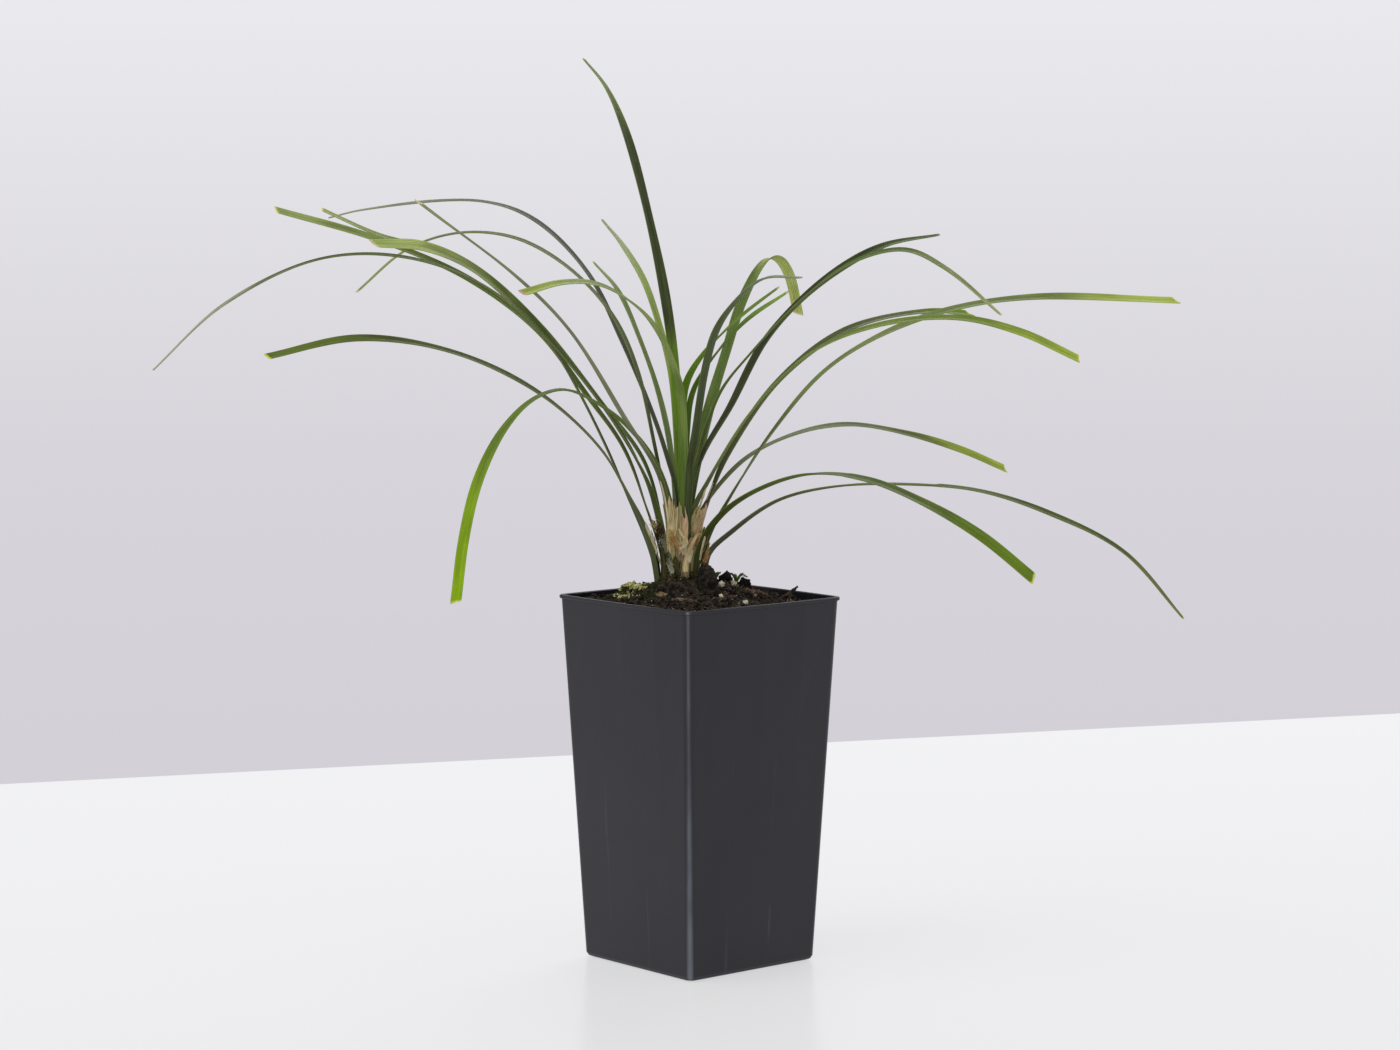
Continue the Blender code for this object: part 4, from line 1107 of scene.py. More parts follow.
# Each leaf's foot, middle and tip colour, where its foot colour ends and its tip colour starts, its dry
# edge, and how strong its ribs are. The colours carry painted light and shade: each leaf is paler or
# darker by how the light falls on it, and the bright tips are painted light that comes through the blade.
LOOKS = {
    "leaf_left_1": ((70, 78, 54), (60, 74, 18), (196, 196, 172), 0.45, 0.70, PINK, 0.24),
    "leaf_left_2": ((74, 82, 50), (78, 90, 46), (98, 118, 40), 0.40, 0.76, AMBER, 0.24),
    "leaf_left_3": ((44, 62, 18), (90, 112, 44), (140, 178, 4), 0.35, 0.50, AMBER, 0.22),
    "leaf_left_4": ((70, 78, 36), (76, 98, 28), (152, 168, 100), 0.45, 0.66, AMBER, 0.22),
    "leaf_left_5": ((60, 76, 28), (88, 114, 36), (150, 164, 98), 0.40, 0.70, AMBER, 0.20),
    "leaf_left_6": ((70, 84, 34), (68, 84, 24), (188, 206, 122), 0.42, 0.62, DRY, 0.42),
    "leaf_left_7": ((52, 66, 24), (122, 126, 100), (138, 146, 106), 0.40, 0.70, DRY, 0.20),
    "leaf_left_8": ((90, 92, 70), (88, 92, 88), (162, 164, 140), 0.35, 0.62, PINK, 0.18),
    "leaf_left_9": ((50, 62, 30), (104, 114, 80), (156, 168, 102), 0.40, 0.70, DRY, 0.20),
    "leaf_middle_1": ((98, 126, 50), (148, 166, 96), (164, 182, 76), 0.62, 0.72, PINK, 0.26),
    "leaf_middle_2": ((118, 152, 48), (158, 180, 92), (142, 152, 108), 0.45, 0.65, DRY, 0.22),
    "leaf_middle_3": ((110, 138, 58), (132, 150, 94), (142, 160, 94), 0.40, 0.70, DRY, 0.22),
    "leaf_middle_4": ((116, 152, 46), (58, 68, 42), (116, 140, 50), 0.46, 0.76, DRY, 0.24),
    "leaf_middle_5": ((28, 38, 12), (70, 82, 54), (124, 134, 112), 0.52, 0.66, PINK, 0.22),
    "leaf_middle_6": ((46, 54, 28), (98, 122, 54), (214, 226, 126), 0.45, 0.70, DRY, 0.55),
    "leaf_middle_7": ((52, 74, 10), (100, 138, 20), (104, 130, 44), 0.45, 0.80, DRY, 0.22),
    "leaf_middle_8": ((45, 62, 16), (70, 104, 14), (134, 170, 66), 0.45, 0.80, DRY, 0.22),
    "leaf_right_1": ((45, 55, 30), (78, 100, 40), (182, 188, 136), 0.45, 0.80, DRY, 0.20),
    "leaf_right_2": ((40, 44, 30), (34, 40, 24), (60, 80, 26), 0.45, 0.72, PINK, 0.26),
    "leaf_right_3": ((52, 57, 23), (126, 142, 84), (186, 204, 92), 0.42, 0.72, AMBER, 0.24),
    "leaf_right_4": ((90, 96, 68), (120, 140, 60), (170, 192, 74), 0.42, 0.76, AMBER, 0.22),
    "leaf_right_5": ((58, 62, 32), (92, 100, 64), (114, 142, 38), 0.42, 0.76, AMBER, 0.22),
    "leaf_right_6": ((60, 66, 40), (98, 108, 64), (176, 198, 76), 0.45, 0.66, AMBER, 0.22),
    "leaf_right_7": ((50, 56, 20), (82, 98, 44), (96, 124, 10), 0.40, 0.56, AMBER, 0.24),
    "leaf_right_8": ((84, 86, 70), (78, 92, 42), (130, 140, 86), 0.42, 0.80, AMBER, 0.22),
}
# Up to where each leaf keeps its foot colour whole, where that is more than the usual
FOOT_KEPT = {"leaf_middle_4": 0.38, "leaf_middle_1": 0.20, "leaf_middle_2": 0.15}
USUAL_FOOT = 0.05


def blade_material(one, length, ribs, seed):
    foot, middle, tip, foot_ends, tip_starts, dry, depth = LOOKS[one["name"]]
    made, n, shader = new_material(one["name"] + "_green", 0.4, 0.12)
    finish = n.add("Group", {
        "Foot": paint(*foot), "Middle": paint(*middle), "Tip": paint(*tip), "Dry Edge": paint(*dry),
        "Foot Starts": FOOT_KEPT.get(one["name"], USUAL_FOOT), "Foot Ends": foot_ends,
        "Tip Starts": tip_starts, "Length": length, "Ribs": ribs, "Rib Depth": depth, "Seed": seed,
    }, node_tree=BLADE_FINISH).outputs
    n.feed(shader.inputs["Base Color"], finish["Colour"])
    n.feed(shader.inputs["Roughness"], finish["Roughness"])
    n.bump(shader, finish["Height"], 0.00004, 0.35)
    return made


print("finishes for", len(LOOKS), "leaves")

# %% [markdown]
# ## Leaves: their shape
# A leaf starts as a flat grid. Each row of it goes to its place on the leaf's line, and across the row the
# blade is folded into a shallow gutter with fine ribs. Solidify then gives it its thickness, which is
# less at the edges. Trimmed tips are cut slantwise and are a little frayed.

# %% Bending a flat grid
EDGE_SHARE = 0.5


def bend(made, place_of, thickness):
    """Sends each corner of a flat grid to its place, in mm, and thickens the sheet, less at its edges. The
    place is asked for by where the corner lies across, from -1 to 1, and along, from 0 to 1."""
    full = made.vertex_groups.new(name="full")
    for vertex in made.data.vertices:
        s, share = vertex.co.x, (vertex.co.y + 1) / 2
        full.add([vertex.index], 1 - s ** 4, "REPLACE")
        vertex.co = place_of(s, share) * MM
    thicken(made, thickness, offset=0, vertex_group="full", thickness_vertex_group=EDGE_SHARE)
    made.vertex_groups.clear()
    made.data.shade_smooth()


print("a sheet keeps", EDGE_SHARE, "of its thickness at its edges")


# %% Shape the leaves
ACROSS = 20
ROW_STEP = 1.9
THICKNESS = 0.50
FOLD_SOFTNESS = 0.22
RIB_RELIEF = 0.022
TIP_ZONE = 5
# The left shoot's outer leaves lean in to their sheath: how far in the plan at the foot, gone by mid-leaf
NUDGES = {"leaf_left_1": 1.9, "leaf_left_2": 2.1, "leaf_left_4": 2.0}
NUDGE_FROM, NUDGE_GONE = 130.0, 162.0
# A shoot is a flat fan, so at its foot each leaf turns its broad outer face to the front
FOOT_TURN = math.radians(44)
TURN_FROM, TURN_GONE = 140.0, 178.0


def fold(s):
    """The gutter's height across a blade, from 0 in the middle to 1 at the edges."""
    return (math.hypot(s, FOLD_SOFTNESS) - FOLD_SOFTNESS) / (math.hypot(1, FOLD_SOFTNESS) - FOLD_SOFTNESS)


def shape_leaf(number, one):
    length = leaf_line(one, 8)[1]
    rows = round(length / ROW_STEP)
    frames = leaf_frames(one, rows)
    notch = random.Random(one["name"]).uniform(-0.4, 0.4)
    ribs = 5 if one["width"] < 4 else 7
    nudge = FROM_PLAN @ Vector((NUDGES.get(one["name"], 0.0), 0, 0))
    cut = one["slant"] if one["tip"] > POINTED else 0.0

    def place_of(s, share):
        middle, side, face, along = frames[round(share * rows)]
        if share < 0.5:
            left = 1 - ease(middle.z, TURN_FROM, TURN_GONE)
            side, face = rolled(side, face, -FOOT_TURN * math.cos(one["heading"]) * left)
        width = blade_width(one, share)
        near_tip = max(0.0, (share * length - length + TIP_ZONE) / TIP_ZONE)
        frayed = 0.25 * abs(math.sin(s * 9 + notch * 8)) + 0.8 * max(0, 0.25 - abs(s - notch))
        lean = -cut * s / 2 * near_tip - frayed * near_tip ** 3
        lift = GUTTER * width * fold(s) + RIB_RELIEF * math.cos(s * ribs * math.pi)
        wave = 0.05 * width * math.sin(share * length / 9.0 + number) * s * abs(s) * min(1, share * 2)
        place = middle + side * (s * width / 2) + face * (lift + wave) + along * lean
        return place + nudge * (1 - ease(middle.z, NUDGE_FROM, NUDGE_GONE))

    made = flat_grid(one["name"] + "_blade", ACROSS, rows)
    bend(made, place_of, THICKNESS)
    made.data.set_sharp_from_angle(angle=math.radians(50))
    made.data.materials.append(blade_material(one, length, ribs, number * 1.7))
    return finish_piece(made, [one["name"]])


for number, one in enumerate(LEAVES):
    shape_leaf(number, one)

# %% [markdown]
# ## The crown
# The shoots stand in the remains of older leaves: thin papery sheaths, tan and pinkish grey, torn at
# their tops, with frayed golden and grey fibres between them. The solid crown is roughened into the dark
# fibrous base. Sheaths are thin curled strips along the outer faces of the leaves, with ragged ends, and
# the fibres are wandering strands.

# %% Papery finish
def build_papery():
    group, n, given, result = group_with(
        "dry_fibre",
        {"Light": paint(212, 192, 150), "Dark": paint(140, 104, 70), "Top": paint(150, 112, 76),
         "Strands": 26.0, "Seed": 0.0},
        {"Colour": "Color", "Height": "Float"})
    parts = n.coordinates("UV")[1]
    across, up = parts["X"], parts["Y"]
    fibrous = n.point(n.times(across, given["Strands"]), n.times(up, 2.2), given["Seed"])
    lines = n.noise(fibrous, 1.0, 3.0, 0.65)
    blotch = n.noise(n.point(n.times(across, 2.5), n.times(up, 4.0), given["Seed"]), 1.0, 4.0)
    colour = n.mix(n.ramp(lines, 0.32, 0.66), given["Dark"], given["Light"])
    colour = n.mix(n.times(n.ramp(up, 0.72, 1.0), 0.6), colour, given["Top"])
    colour = n.mix(n.times(n.ramp(blotch, 0.52, 0.74), 0.45), colour, given["Dark"])
    n.feed(result["Colour"], colour)
    n.feed(result["Height"], lines)
    return group


PAPERY = build_papery()
print("the paper's settings:", [item.name for item in PAPERY.interface.items_tree if item.in_out == "INPUT"])


def papery(name, light, dark, top, strands_across=26.0, seed=0.0):
    made, n, shader = new_material(name, 0.75, 0.2)
    finish = n.add("Group", {"Light": paint(*light), "Dark": paint(*dark), "Top": paint(*top),
                             "Strands": strands_across, "Seed": seed}, node_tree=PAPERY).outputs
    n.feed(shader.inputs["Base Color"], finish["Colour"])
    n.bump(shader, finish["Height"], 0.00008, 0.7)
    return made


# %% The core
# The solid's sheaths give way to the thin ones below, so the core is cut off above its mounds, level over
# all of it and at a slant on the left
CORE_TOP = 134.5
SLANT_FROM, SLANT_WAY = (-12.0, 0, 134), (-0.75, 0, 0.66)
crown_finish = earthy("crown_base", (20, 18, 8), (66, 60, 32), (124, 112, 72), 420.0, 1500.0, 0.64)
crown_core = weathered("crown", 2, 0.45, 1.0, 8.0, crown_finish, "crown_core", 28)
select_only(crown_core)
bpy.ops.object.mode_set(mode="EDIT")
for place, way in (((0, 0, CORE_TOP), (0, 0, 1)), (SLANT_FROM, SLANT_WAY)):
    bpy.ops.mesh.select_all(action="SELECT")
    bpy.ops.mesh.bisect(plane_co=spot(*place), plane_no=(*in_pot(*way[:2]), way[2]), use_fill=True,
                        clear_outer=True)
bpy.ops.object.mode_set(mode="OBJECT")
print("the crown's core is", round(crown_core.dimensions.z / MM, 1), "mm tall")

# %% Split sheaths round the leaves
# Papers: light, dark and top colour
TAN = ((212, 192, 146), (140, 120, 74), (204, 184, 140))
ROSE = ((212, 182, 148), (150, 120, 86), (204, 174, 140))
DAMP = ((150, 134, 100), (80, 68, 42), (140, 124, 92))
STRAW = ((212, 196, 146), (156, 132, 84), (208, 190, 142))
CREAM = ((206, 196, 162), (152, 138, 98), (200, 190, 156))
ASH = ((176, 172, 150), (94, 90, 66), (166, 162, 140))
RUST = ((180, 142, 94), (116, 82, 48), (172, 136, 92))
GOLD = ((200, 170, 112), (136, 102, 56), (194, 164, 108))
KHAKI = ((188, 174, 122), (122, 110, 64), (182, 166, 118))
UMBER = ((92, 68, 42), (38, 28, 16), (84, 62, 38))
MOSSY = ((84, 82, 38), (24, 26, 10), (66, 66, 30))

SHEATH_ACROSS, SHEATH_ROWS = 16, 26
SHEATH_THICKNESS = 0.16
SHEATH_OFF = 0.7
SHEATH_RAGGED = 0.5
# Sheaths: the leaf each one wraps, how long and how wide it is, how far it is wrapped round in degrees,
# and its paper
SHEATHS = (
    ("leaf_left_5", 20, 3.8, 110, TAN), ("leaf_left_8", 24, 4.0, 120, ASH),
    ("leaf_middle_6", 27, 4.4, 120, TAN), ("leaf_middle_2", 25, 4.2, 120, ASH),
    ("leaf_middle_8", 24, 4.0, 110, ROSE), ("leaf_right_4", 24, 4.2, 110, TAN),
    ("leaf_right_6", 17, 3.8, 110, TAN), ("leaf_right_3", 18, 4.2, 110, STRAW),
    ("leaf_right_1", 22, 4.2, 120, TAN), ("leaf_left_4", 22, 4.4, 110, MOSSY),
    ("leaf_left_6", 18, 6.2, 110, MOSSY),
)


def shape_sheath(number, name, long, wide, wrap, colours):
    """A thin strip curled round the outer face of a leaf, with a torn top."""
    one = BY_NAME[name]
    length = leaf_line(one, 8)[1]
    fine = round(length * 2)
    frames = leaf_frames(one, fine)
    draw = random.Random(number * 31 + 5)
    torn = [draw.random() ** 1.5 * SHEATH_RAGGED for _ in range(SHEATH_ACROSS + 1)]
    torn = [min(t, torn[max(i - 1, 0)] + 0.25) for i, t in enumerate(torn)]
    spread = draw.uniform(0.2, 1.0)
    wrapped = math.radians(wrap)

    def place_of(s, share):
        up = share * (1 - torn[round((s + 1) / 2 * SHEATH_ACROSS)] * share)
        middle, side, face, _ = frames[min(int(long * up / length * fine), fine)]
        angle = wrapped / 2 * s
        radius = wide / wrapped * (1 - 0.18 * up)
        wobble = noise.noise(Vector((s * 2.0, up * 3.0, number * 5.0))) * 0.5 * up
        outwards = radius * math.cos(angle) - radius + SHEATH_OFF + spread * up ** 3 + wobble
        return middle + side * (radius * math.sin(angle)) - face * outwards

    made = flat_grid(f"sheath_{number}", SHEATH_ACROSS, SHEATH_ROWS)
    bend(made, place_of, SHEATH_THICKNESS)
    made.data.materials.append(papery(f"sheath_{number}_paper", *colours, seed=number * 2.3))
    return finish_piece(made, ["crown"])


for number, sheath in enumerate(SHEATHS, 1):
    shape_sheath(number, *sheath)

# %% [markdown]
# ## Torn strips on the shoots
# Round the shoots hang the torn strips of older sheaths. Each lies close on whatever stands behind it, so
# it is laid there by looking: a ray goes in from the front at each corner of a flat strip, and the corner
# stops just short of what it meets. Pulling the corners towards their neighbours' mean, but never back into
# what is behind, then tightens the strip like paper over a rod. The back gets its strips from behind.

# %% Laying a strip on what is behind it
def one_tree(objects):
    """One search tree of several finished objects, in mm in the plan."""
    corners, faces = [], []
    for shown in objects:
        first = len(corners)
        corners.extend(TO_PLAN @ (v.co / MM) for v in shown.data.vertices)
        faces.extend([first + i for i in p.vertices] for p in shown.data.polygons)
    return BVHTree.FromPolygons(corners, faces)


LAID = []
BEHIND = one_tree([o for o in bpy.data.objects if o.type == "MESH" and o.name.endswith("_blade")]
                  + [bpy.data.objects[n] for n in ("crown_core", "soil_crust", "soil_lump_rough")])
RAY_START = {1: -17.0, -1: 34.0}
RAY_LENGTH = 40.0
STRIP_THICKNESS = 0.13
STRIP_LIFT = 0.14
OUT_OF_LINE = 5.0
PULLS = 24
TOP_LAYER, FOOT_LAYER = 0, 7


def depth_at(x, z, facing):
    """How far along the plan's y the first thing lies, seen from the front (1) or the back (-1)."""
    start = Vector((x, RAY_START[facing], z))
    met = [tree.ray_cast(start, Vector((0, facing, 0)), RAY_LENGTH)[0] for tree in (BEHIND, *LAID)]
    met = [hit.y for hit in met if hit is not None]
    return (min(met) if facing > 0 else max(met)) if met else None


def lay_strip(number, facing, name, spine, colours, ragged):
    """A thin torn strip along a line of places (across, height, half width) in the front view."""
    reach = sum((Vector(b[:2]) - Vector(a[:2])).length for a, b in zip(spine, spine[1:]))
    widest = max(p[2] for p in spine)
    columns, rows = max(4, round(widest * 8)), max(8, round(reach * 2.2))
    line = smooth_curve([Vector(p) for p in spine], 12)
    draw = random.Random(number * 13 + 3)

    def tear(s, layer):
        """How much is torn off at a place across the strip. Top and foot read two layers of the noise."""
        return ragged * max(0.0, 0.5 + noise.noise(Vector((s * widest * 0.8, number * 1.9, layer))))

    flat = {}
    for j in range(columns + 1):
        s = 2 * j / columns - 1
        torn, foot_torn = tear(s, TOP_LAYER) + 0.10 * draw.random() ** 3, 0.5 * tear(s, FOOT_LAYER)
        for i in range(rows + 1):
            share = i / rows
            share = share * (1 - torn * share) + foot_torn * (1 - share) ** 3
            at = share * (len(line) - 1)
            low = min(int(at), len(line) - 2)
            middle = line[low].lerp(line[low + 1], at - low)
            ahead = (line[low + 1] - line[low]).to_2d().normalized()
            flutter = noise.noise(Vector((share * 3.0, number * 3.7, 1.0))) * 0.35 * widest
            offset = s * middle.z + flutter * share
            flat[i, j] = (middle.x + ahead.y * offset, middle.y - ahead.x * offset)

    found = {key: depth_at(x, z, facing) for key, (x, z) in flat.items()}
    known = sorted(y for y in found.values() if y is not None)
    usual = known[len(known) // 2] if known else 0.0
    limit = {key: (usual if y is None or abs(y - usual) > OUT_OF_LINE else y) - facing * STRIP_LIFT
             for key, y in found.items()}
    depth = dict(limit)
    nearest = min if facing > 0 else max
    for _ in range(PULLS):
        eased = {}
        for i, j in depth:
            near = [depth[k] for k in ((i - 1, j), (i + 1, j), (i, j - 1), (i, j + 1)) if k in depth]
            eased[i, j] = nearest(limit[i, j], sum(near) / len(near))
        depth = eased

    def place_of(s, share):
        key = round(share * rows), round((s + 1) / 2 * columns)
        blown = max(0.0, noise.noise(Vector((s * 1.5, share * 4.0, number * 2.1))))
        curled = s * s * noise.noise(Vector((share * 5.0, number * 1.3, 4.0)))
        lifted = 0.25 * share ** 3 + 0.18 * blown + 0.16 * curled
        return FROM_PLAN @ Vector((flat[key][0], depth[key] - facing * lifted, flat[key][1]))

    made = flat_grid("strip_" + name, columns, rows)
    bend(made, place_of, STRIP_THICKNESS)
    made.data.materials.append(papery(made.name + "_paper", *colours, max(4.0, widest * 11), number * 2.3))
    LAID.append(one_tree([made]))
    return finish_piece(made, ["crown"])


# %% The strips of the front
# Each strip's name, its places (across, height, half width) in mm, its colours and how ragged it is
STRIPS = (
    ("under_left", ((-8.4, 139, 2.0), (-8.8, 147, 2.5), (-9.0, 154, 2.2), (-9.3, 160, 1.2)), KHAKI, 0.3),
    ("under_foot", ((-5.0, 132.6, 1.5), (-5.2, 137, 1.9), (-5.6, 143, 2.2), (-5.8, 149, 1.8)), DAMP, 0.2),
    ("under_right", ((-2.6, 138, 1.3), (-1.9, 145, 2.3), (-1.0, 151, 2.4), (0.4, 156, 1.7), (1.6, 160, 0.7)),
     KHAKI, 0.3),
    ("mossy_foot", ((-7.9, 133.0, 1.4), (-7.9, 137, 1.5), (-7.5, 141.5, 1.1)), MOSSY, 0.3),
    ("white_low", ((-8.6, 133.2, 0.4), (-9.6, 136.2, 0.8), (-11.0, 140, 0.7)), ASH, 0.7),
    ("low_rose", ((-5.0, 132.8, 0.9), (-4.8, 136, 1.1), (-4.7, 140, 0.8)), DAMP, 0.3),
    ("orange_foot", ((1.4, 137.2, 0.8), (2.6, 140, 1.0), (4.2, 143.4, 0.6)), RUST, 0.4),
    ("grey_paper", ((-9.9, 148, 0.9), (-9.8, 153, 1.1), (-9.8, 158, 0.9), (-9.7, 162, 0.3)), TAN, 0.3),
    ("brown_patch", ((-4.8, 140, 0.9), (-4.1, 143.5, 1.3), (-3.6, 147.5, 0.9)), RUST, 0.3),
    ("broad_right", ((-3.2, 141.5, 0.8), (-2.9, 146, 1.1), (-2.4, 150, 1.2), (-1.6, 153.6, 0.9),
                     (-0.9, 156.4, 0.3)), KHAKI, 0.35),
    ("broad_right_2", ((-2.4, 142, 0.6), (-1.6, 146.6, 1.1), (-0.7, 151, 1.2), (0.3, 155, 0.9),
                       (1.2, 158.6, 0.3)), TAN, 0.35),
    ("broad_right_3", ((-0.9, 146, 0.5), (0.2, 150, 0.8), (1.2, 153.6, 0.9), (2.0, 157, 0.7),
                       (2.8, 160.4, 0.2)), ROSE, 0.35),
    ("pink_heart", ((-6.0, 140.5, 1.0), (-5.8, 145.5, 1.7), (-5.6, 151, 1.8), (-5.5, 155, 1.3),
                    (-5.4, 158.6, 0.4)), ROSE, 0.3),
    ("pink_edge", ((-7.4, 143, 0.5), (-7.2, 148, 0.9), (-6.9, 153, 0.8), (-6.6, 157.4, 0.6),
                   (-6.5, 160.6, 0.2)), KHAKI, 0.35),
    ("pale_stripe_1", ((-8.8, 145, 0.5), (-8.5, 150, 0.7), (-8.3, 155, 0.7), (-8.2, 159, 0.3)), STRAW, 0.3),
    ("pale_stripe_2", ((-7.7, 149, 0.3), (-7.6, 154, 0.4), (-7.5, 158, 0.25)), CREAM, 0.2),
    ("pale_stripe_3", ((-10.6, 152, 0.25), (-11.2, 157, 0.35), (-12.2, 162.5, 0.3),
                       (-13.4, 167, 0.15)), CREAM, 0.1),
    ("pale_stripe_4", ((-11.0, 148, 0.3), (-11.6, 153, 0.3), (-12.6, 159, 0.25)), STRAW, 0.1),
    ("cream_patch", ((-5.9, 139.6, 0.8), (-5.5, 143, 1.3), (-5.2, 146.8, 1.2),
                     (-4.9, 149.8, 0.4)), CREAM, 0.5),
    ("golden_low", ((-9.6, 141.2, 0.6), (-9.4, 144.0, 1.0), (-8.8, 146.8, 0.9),
                    (-8.0, 149.2, 0.4)), TAN, 0.5),
    ("golden_band", ((-10.3, 148.6, 0.5), (-9.2, 146.8, 0.9), (-7.7, 144.8, 1.0), (-5.9, 142.6, 0.9),
                     (-3.8, 140.2, 0.5)), GOLD, 0.4),
    ("right_flap", ((-3.6, 140.4, 0.8), (-2.4, 143.6, 1.4), (-0.8, 147.0, 1.3),
                    (0.6, 150.2, 0.6)), GOLD, 0.35),
    ("cross_1", ((-3.4, 146.4, 0.35), (-4.6, 144.4, 0.55), (-6.2, 143.0, 0.55),
                 (-8.0, 143.4, 0.3)), CREAM, 0.4),
    ("cross_2", ((-7.4, 150.4, 0.3), (-6.0, 147.8, 0.5), (-4.4, 145.6, 0.5), (-2.8, 144.4, 0.3)), STRAW, 0.3),
    ("cross_3", ((-9.9, 150.2, 0.25), (-9.2, 147.4, 0.45), (-8.2, 144.8, 0.45),
                 (-6.8, 142.6, 0.3)), RUST, 0.5),
    ("cross_4", ((-4.4, 136, 0.4), (-3.2, 139.6, 0.6), (-1.9, 143.2, 0.6), (-0.2, 147.6, 0.3)), ROSE, 0.3),
    ("torn_edge", ((-4.7, 133, 0.8), (-4.5, 137, 1.0), (-3.7, 141, 0.9), (-2.4, 144.5, 0.6), (-0.6, 148, 0.4),
                   (0.4, 150, 0.2)), TAN, 0.3),
    ("white_patch", ((-4.0, 137.6, 0.7), (-3.4, 140.2, 1.0), (-2.6, 142.8, 0.6)), CREAM, 0.5),
    ("membrane", ((-14.3, 140.4, 0.3), (-15.2, 143.4, 0.55), (-16.3, 146.4, 0.65), (-17.8, 149.6, 0.5),
                  (-19.0, 152.6, 0.2)), CREAM, 0.2),
    ("thread_line", ((-12.3, 134.4, 0.2), (-13.6, 138.0, 0.28), (-15.0, 141.6, 0.3)), CREAM, 0.1),
    ("stub_middle", ((-13.8, 144, 0.6), (-14.0, 147.5, 0.9), (-14.4, 151.4, 0.7)), UMBER, 0.5),
    ("stub_left", ((-14.7, 147, 0.3), (-15.1, 149.5, 0.5), (-15.9, 152.4, 0.5)), TAN, 0.6),
    ("stub_right", ((-13.0, 145, 0.4), (-13.1, 148.0, 0.6), (-13.3, 151.0, 0.4)), UMBER, 0.5),
    ("white_wool", ((-11.0, 140.0, 0.9), (-12.4, 143.6, 1.0), (-13.8, 147.0, 0.5)), ASH, 0.6),
    ("margin_right", ((0.2, 138.5, 0.3), (1, 143, 0.4), (2.2, 147.6, 0.3)), CREAM, 0.1),
    ("right_line_1", ((0.3, 157, 0.3), (1.4, 160.4, 0.35), (2.6, 164, 0.15)), CREAM, 0.1),
    ("right_line_2", ((2.4, 158, 0.25), (3.8, 161.4, 0.3), (5.0, 164.6, 0.15)), CREAM, 0.1),
)
# The back is a guess: the same kind of strips, fewer and broader
BACK_STRIPS = (
    ("back_1", ((-9.6, 134, 1.0), (-9.4, 140, 1.5), (-9.0, 147, 1.3), (-8.8, 152, 0.5)), TAN, 0.4),
    ("back_2", ((-6.4, 133, 1.2), (-6.4, 140, 1.8), (-6.6, 148, 1.6), (-6.8, 155, 0.6)), KHAKI, 0.3),
    ("back_3", ((-3.6, 133, 1.2), (-3.4, 139, 1.7), (-3.0, 146, 1.5), (-2.6, 152, 0.5)), ROSE, 0.4),
    ("back_4", ((-0.8, 133, 0.9), (-0.4, 139, 1.3), (0.6, 145, 1.1), (1.8, 150, 0.4)), TAN, 0.4),
    ("back_5", ((-8.0, 133, 0.7), (-7.8, 137, 1.0), (-7.9, 142, 0.6)), DAMP, 0.4),
    ("back_6", ((-5.0, 133, 0.6), (-4.8, 138, 0.8), (-4.9, 144, 0.5)), STRAW, 0.4),
    ("back_7", ((-2.2, 133, 0.7), (-2.0, 137, 0.9), (-1.6, 141, 0.5)), DAMP, 0.4),
)
for facing, first, table in ((1, 1, STRIPS), (-1, 41, BACK_STRIPS)):
    for number, strip in enumerate(table, first):
        lay_strip(number, facing, *strip)
print("torn strips:", len(STRIPS), "in front and", len(BACK_STRIPS), "behind")

# %% [markdown]
# ## Fibres and the frayed stub
# Worn sheaths leave loose threads and a whitish wool. The threads start on the shoots, where a ray from
# the front or the back meets them, and wander: long bends make a thread, and short tight ones make wool.

# %% Loose fibres
FIBRE_PAINTS = {
    "golden": ((196, 160, 92), (134, 98, 50), (186, 150, 88)),
    "ash": ((204, 202, 184), (140, 136, 112), (200, 196, 176)),
    "umber": ((92, 68, 42), (40, 30, 18), (80, 60, 38)),
    "straw": ((208, 190, 138), (150, 126, 78), (200, 180, 128)),
}
FIBRE_FINISHES = {name: papery(name + "_fibre", *colours, 3.0, number)
                  for number, (name, colours) in enumerate(FIBRE_PAINTS.items(), 1)}
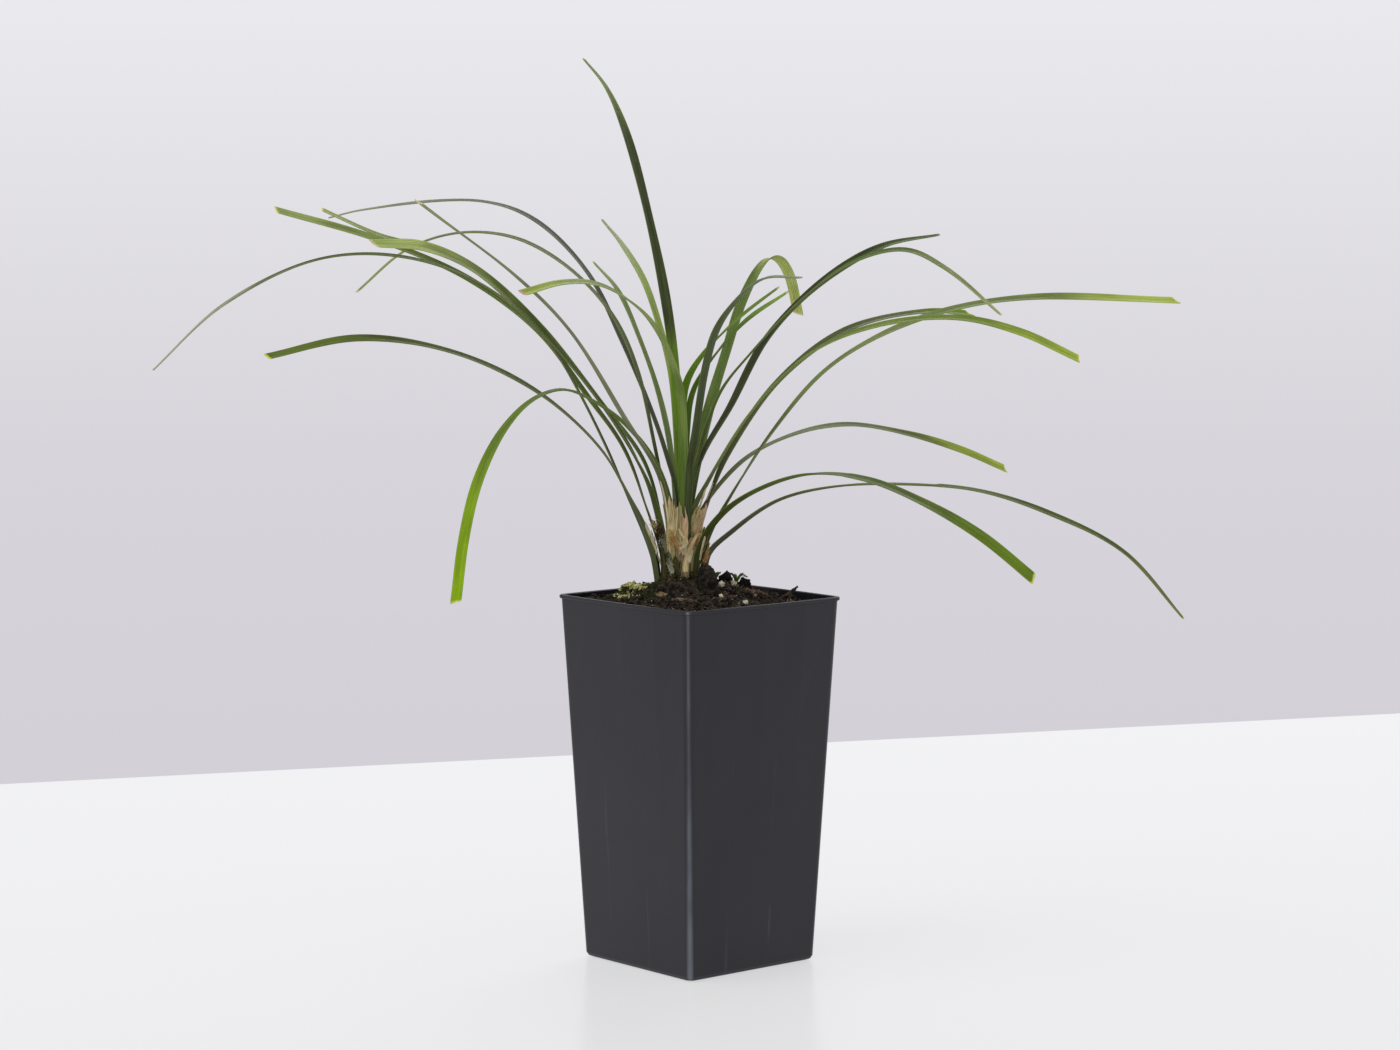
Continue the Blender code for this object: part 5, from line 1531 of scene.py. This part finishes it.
# Name, colour, side (1 is the front, -1 the back), place across and height, spread of both, lean (across,
# outwards, up), length, count, bend and thickness
TUFTS = (
    ("stub", "umber", 1, (-13.9, 146.6), (0.9, 1.7), (-0.08, 0.25, 1.0), 2.6, 110, 0.30, 0.10),
    ("stub_fuzz", "straw", 1, (-15.2, 150.4), (0.8, 0.9), (-0.35, 0.30, 0.7), 1.5, 80, 0.40, 0.08),
    ("wool", "ash", 1, (-12.3, 143.6), (0.9, 1.8), (-0.30, 0.50, 0.4), 2.6, 110, 0.75, 0.04),
    ("low_wool", "ash", 1, (-10.2, 137.4), (0.7, 1.9), (-0.25, 0.40, 0.7), 2.4, 80, 0.70, 0.04),
    ("curled", "golden", 1, (-9.2, 145.2), (0.7, 1.4), (-0.15, 0.40, 0.8), 4.6, 46, 0.60, 0.06),
    ("middle", "straw", 1, (-5.4, 142.0), (2.0, 3.2), (0.05, 0.16, 1.0), 6.5, 18, 0.35, 0.06),
    ("right", "straw", 1, (0.6, 142.0), (1.6, 2.8), (0.30, 0.16, 1.0), 6.0, 12, 0.35, 0.06),
    ("low", "umber", 1, (-6.4, 132.6), (3.2, 1.0), (0.0, 0.35, 0.8), 2.2, 50, 0.50, 0.05),
    ("back", "ash", -1, (-5.5, 141.0), (3.0, 4.0), (-0.05, 0.20, 1.0), 6.5, 50, 0.45, 0.06),
    ("back_low", "umber", -1, (-3.5, 134.5), (3.6, 2.0), (0.0, 0.30, 0.9), 4.5, 50, 0.50, 0.06),
)
TOO_DEEP = 14
THREAD_STEPS = 9
for number, (name, colour, facing, middle, spread, lean, length, count, bent, thick) in enumerate(TUFTS):
    draw = random.Random(80 + number)
    lines = []
    for _ in range(count * 3):
        if len(lines) == count:
            break
        across, height = middle[0] + draw.gauss(0, spread[0]), middle[1] + draw.gauss(0, spread[1])
        depth = depth_at(across, height, facing)
        if depth is None or depth * facing > TOO_DEEP:
            continue
        start = (*in_pot(across, depth - facing * 0.1), height)
        heading = (*in_pot(lean[0] + draw.gauss(0, 0.18), -facing * lean[1] + draw.gauss(0, 0.10)), lean[2])
        lines.append(wander(draw, start, heading, length * draw.uniform(0.5, 1.1), THREAD_STEPS, bent))
    strands(f"fibres_{name}", lines, thick, FIBRE_FINISHES[colour], 0.2)

# %% [markdown]
# ## Seedlings
# Two weed seedlings have come up in the mix. Their solids are small and right, so a smooth copy with a
# soft green finish stands for each.

# %% Finish the seedlings
sprout_finish = earthy("seedling_green", (52, 70, 24), (100, 122, 54), (146, 158, 92), 500.0, 1800.0,
                       0.7, 0.5, 0.00005)
for number in (1, 2):
    weathered(f"sprout_{number}", 2, 0.06, 0.8, 1.0, sprout_finish, f"seedling_{number}")

# %% [markdown]
# ## Size
# The dressed plant has to stay the size of its solids.
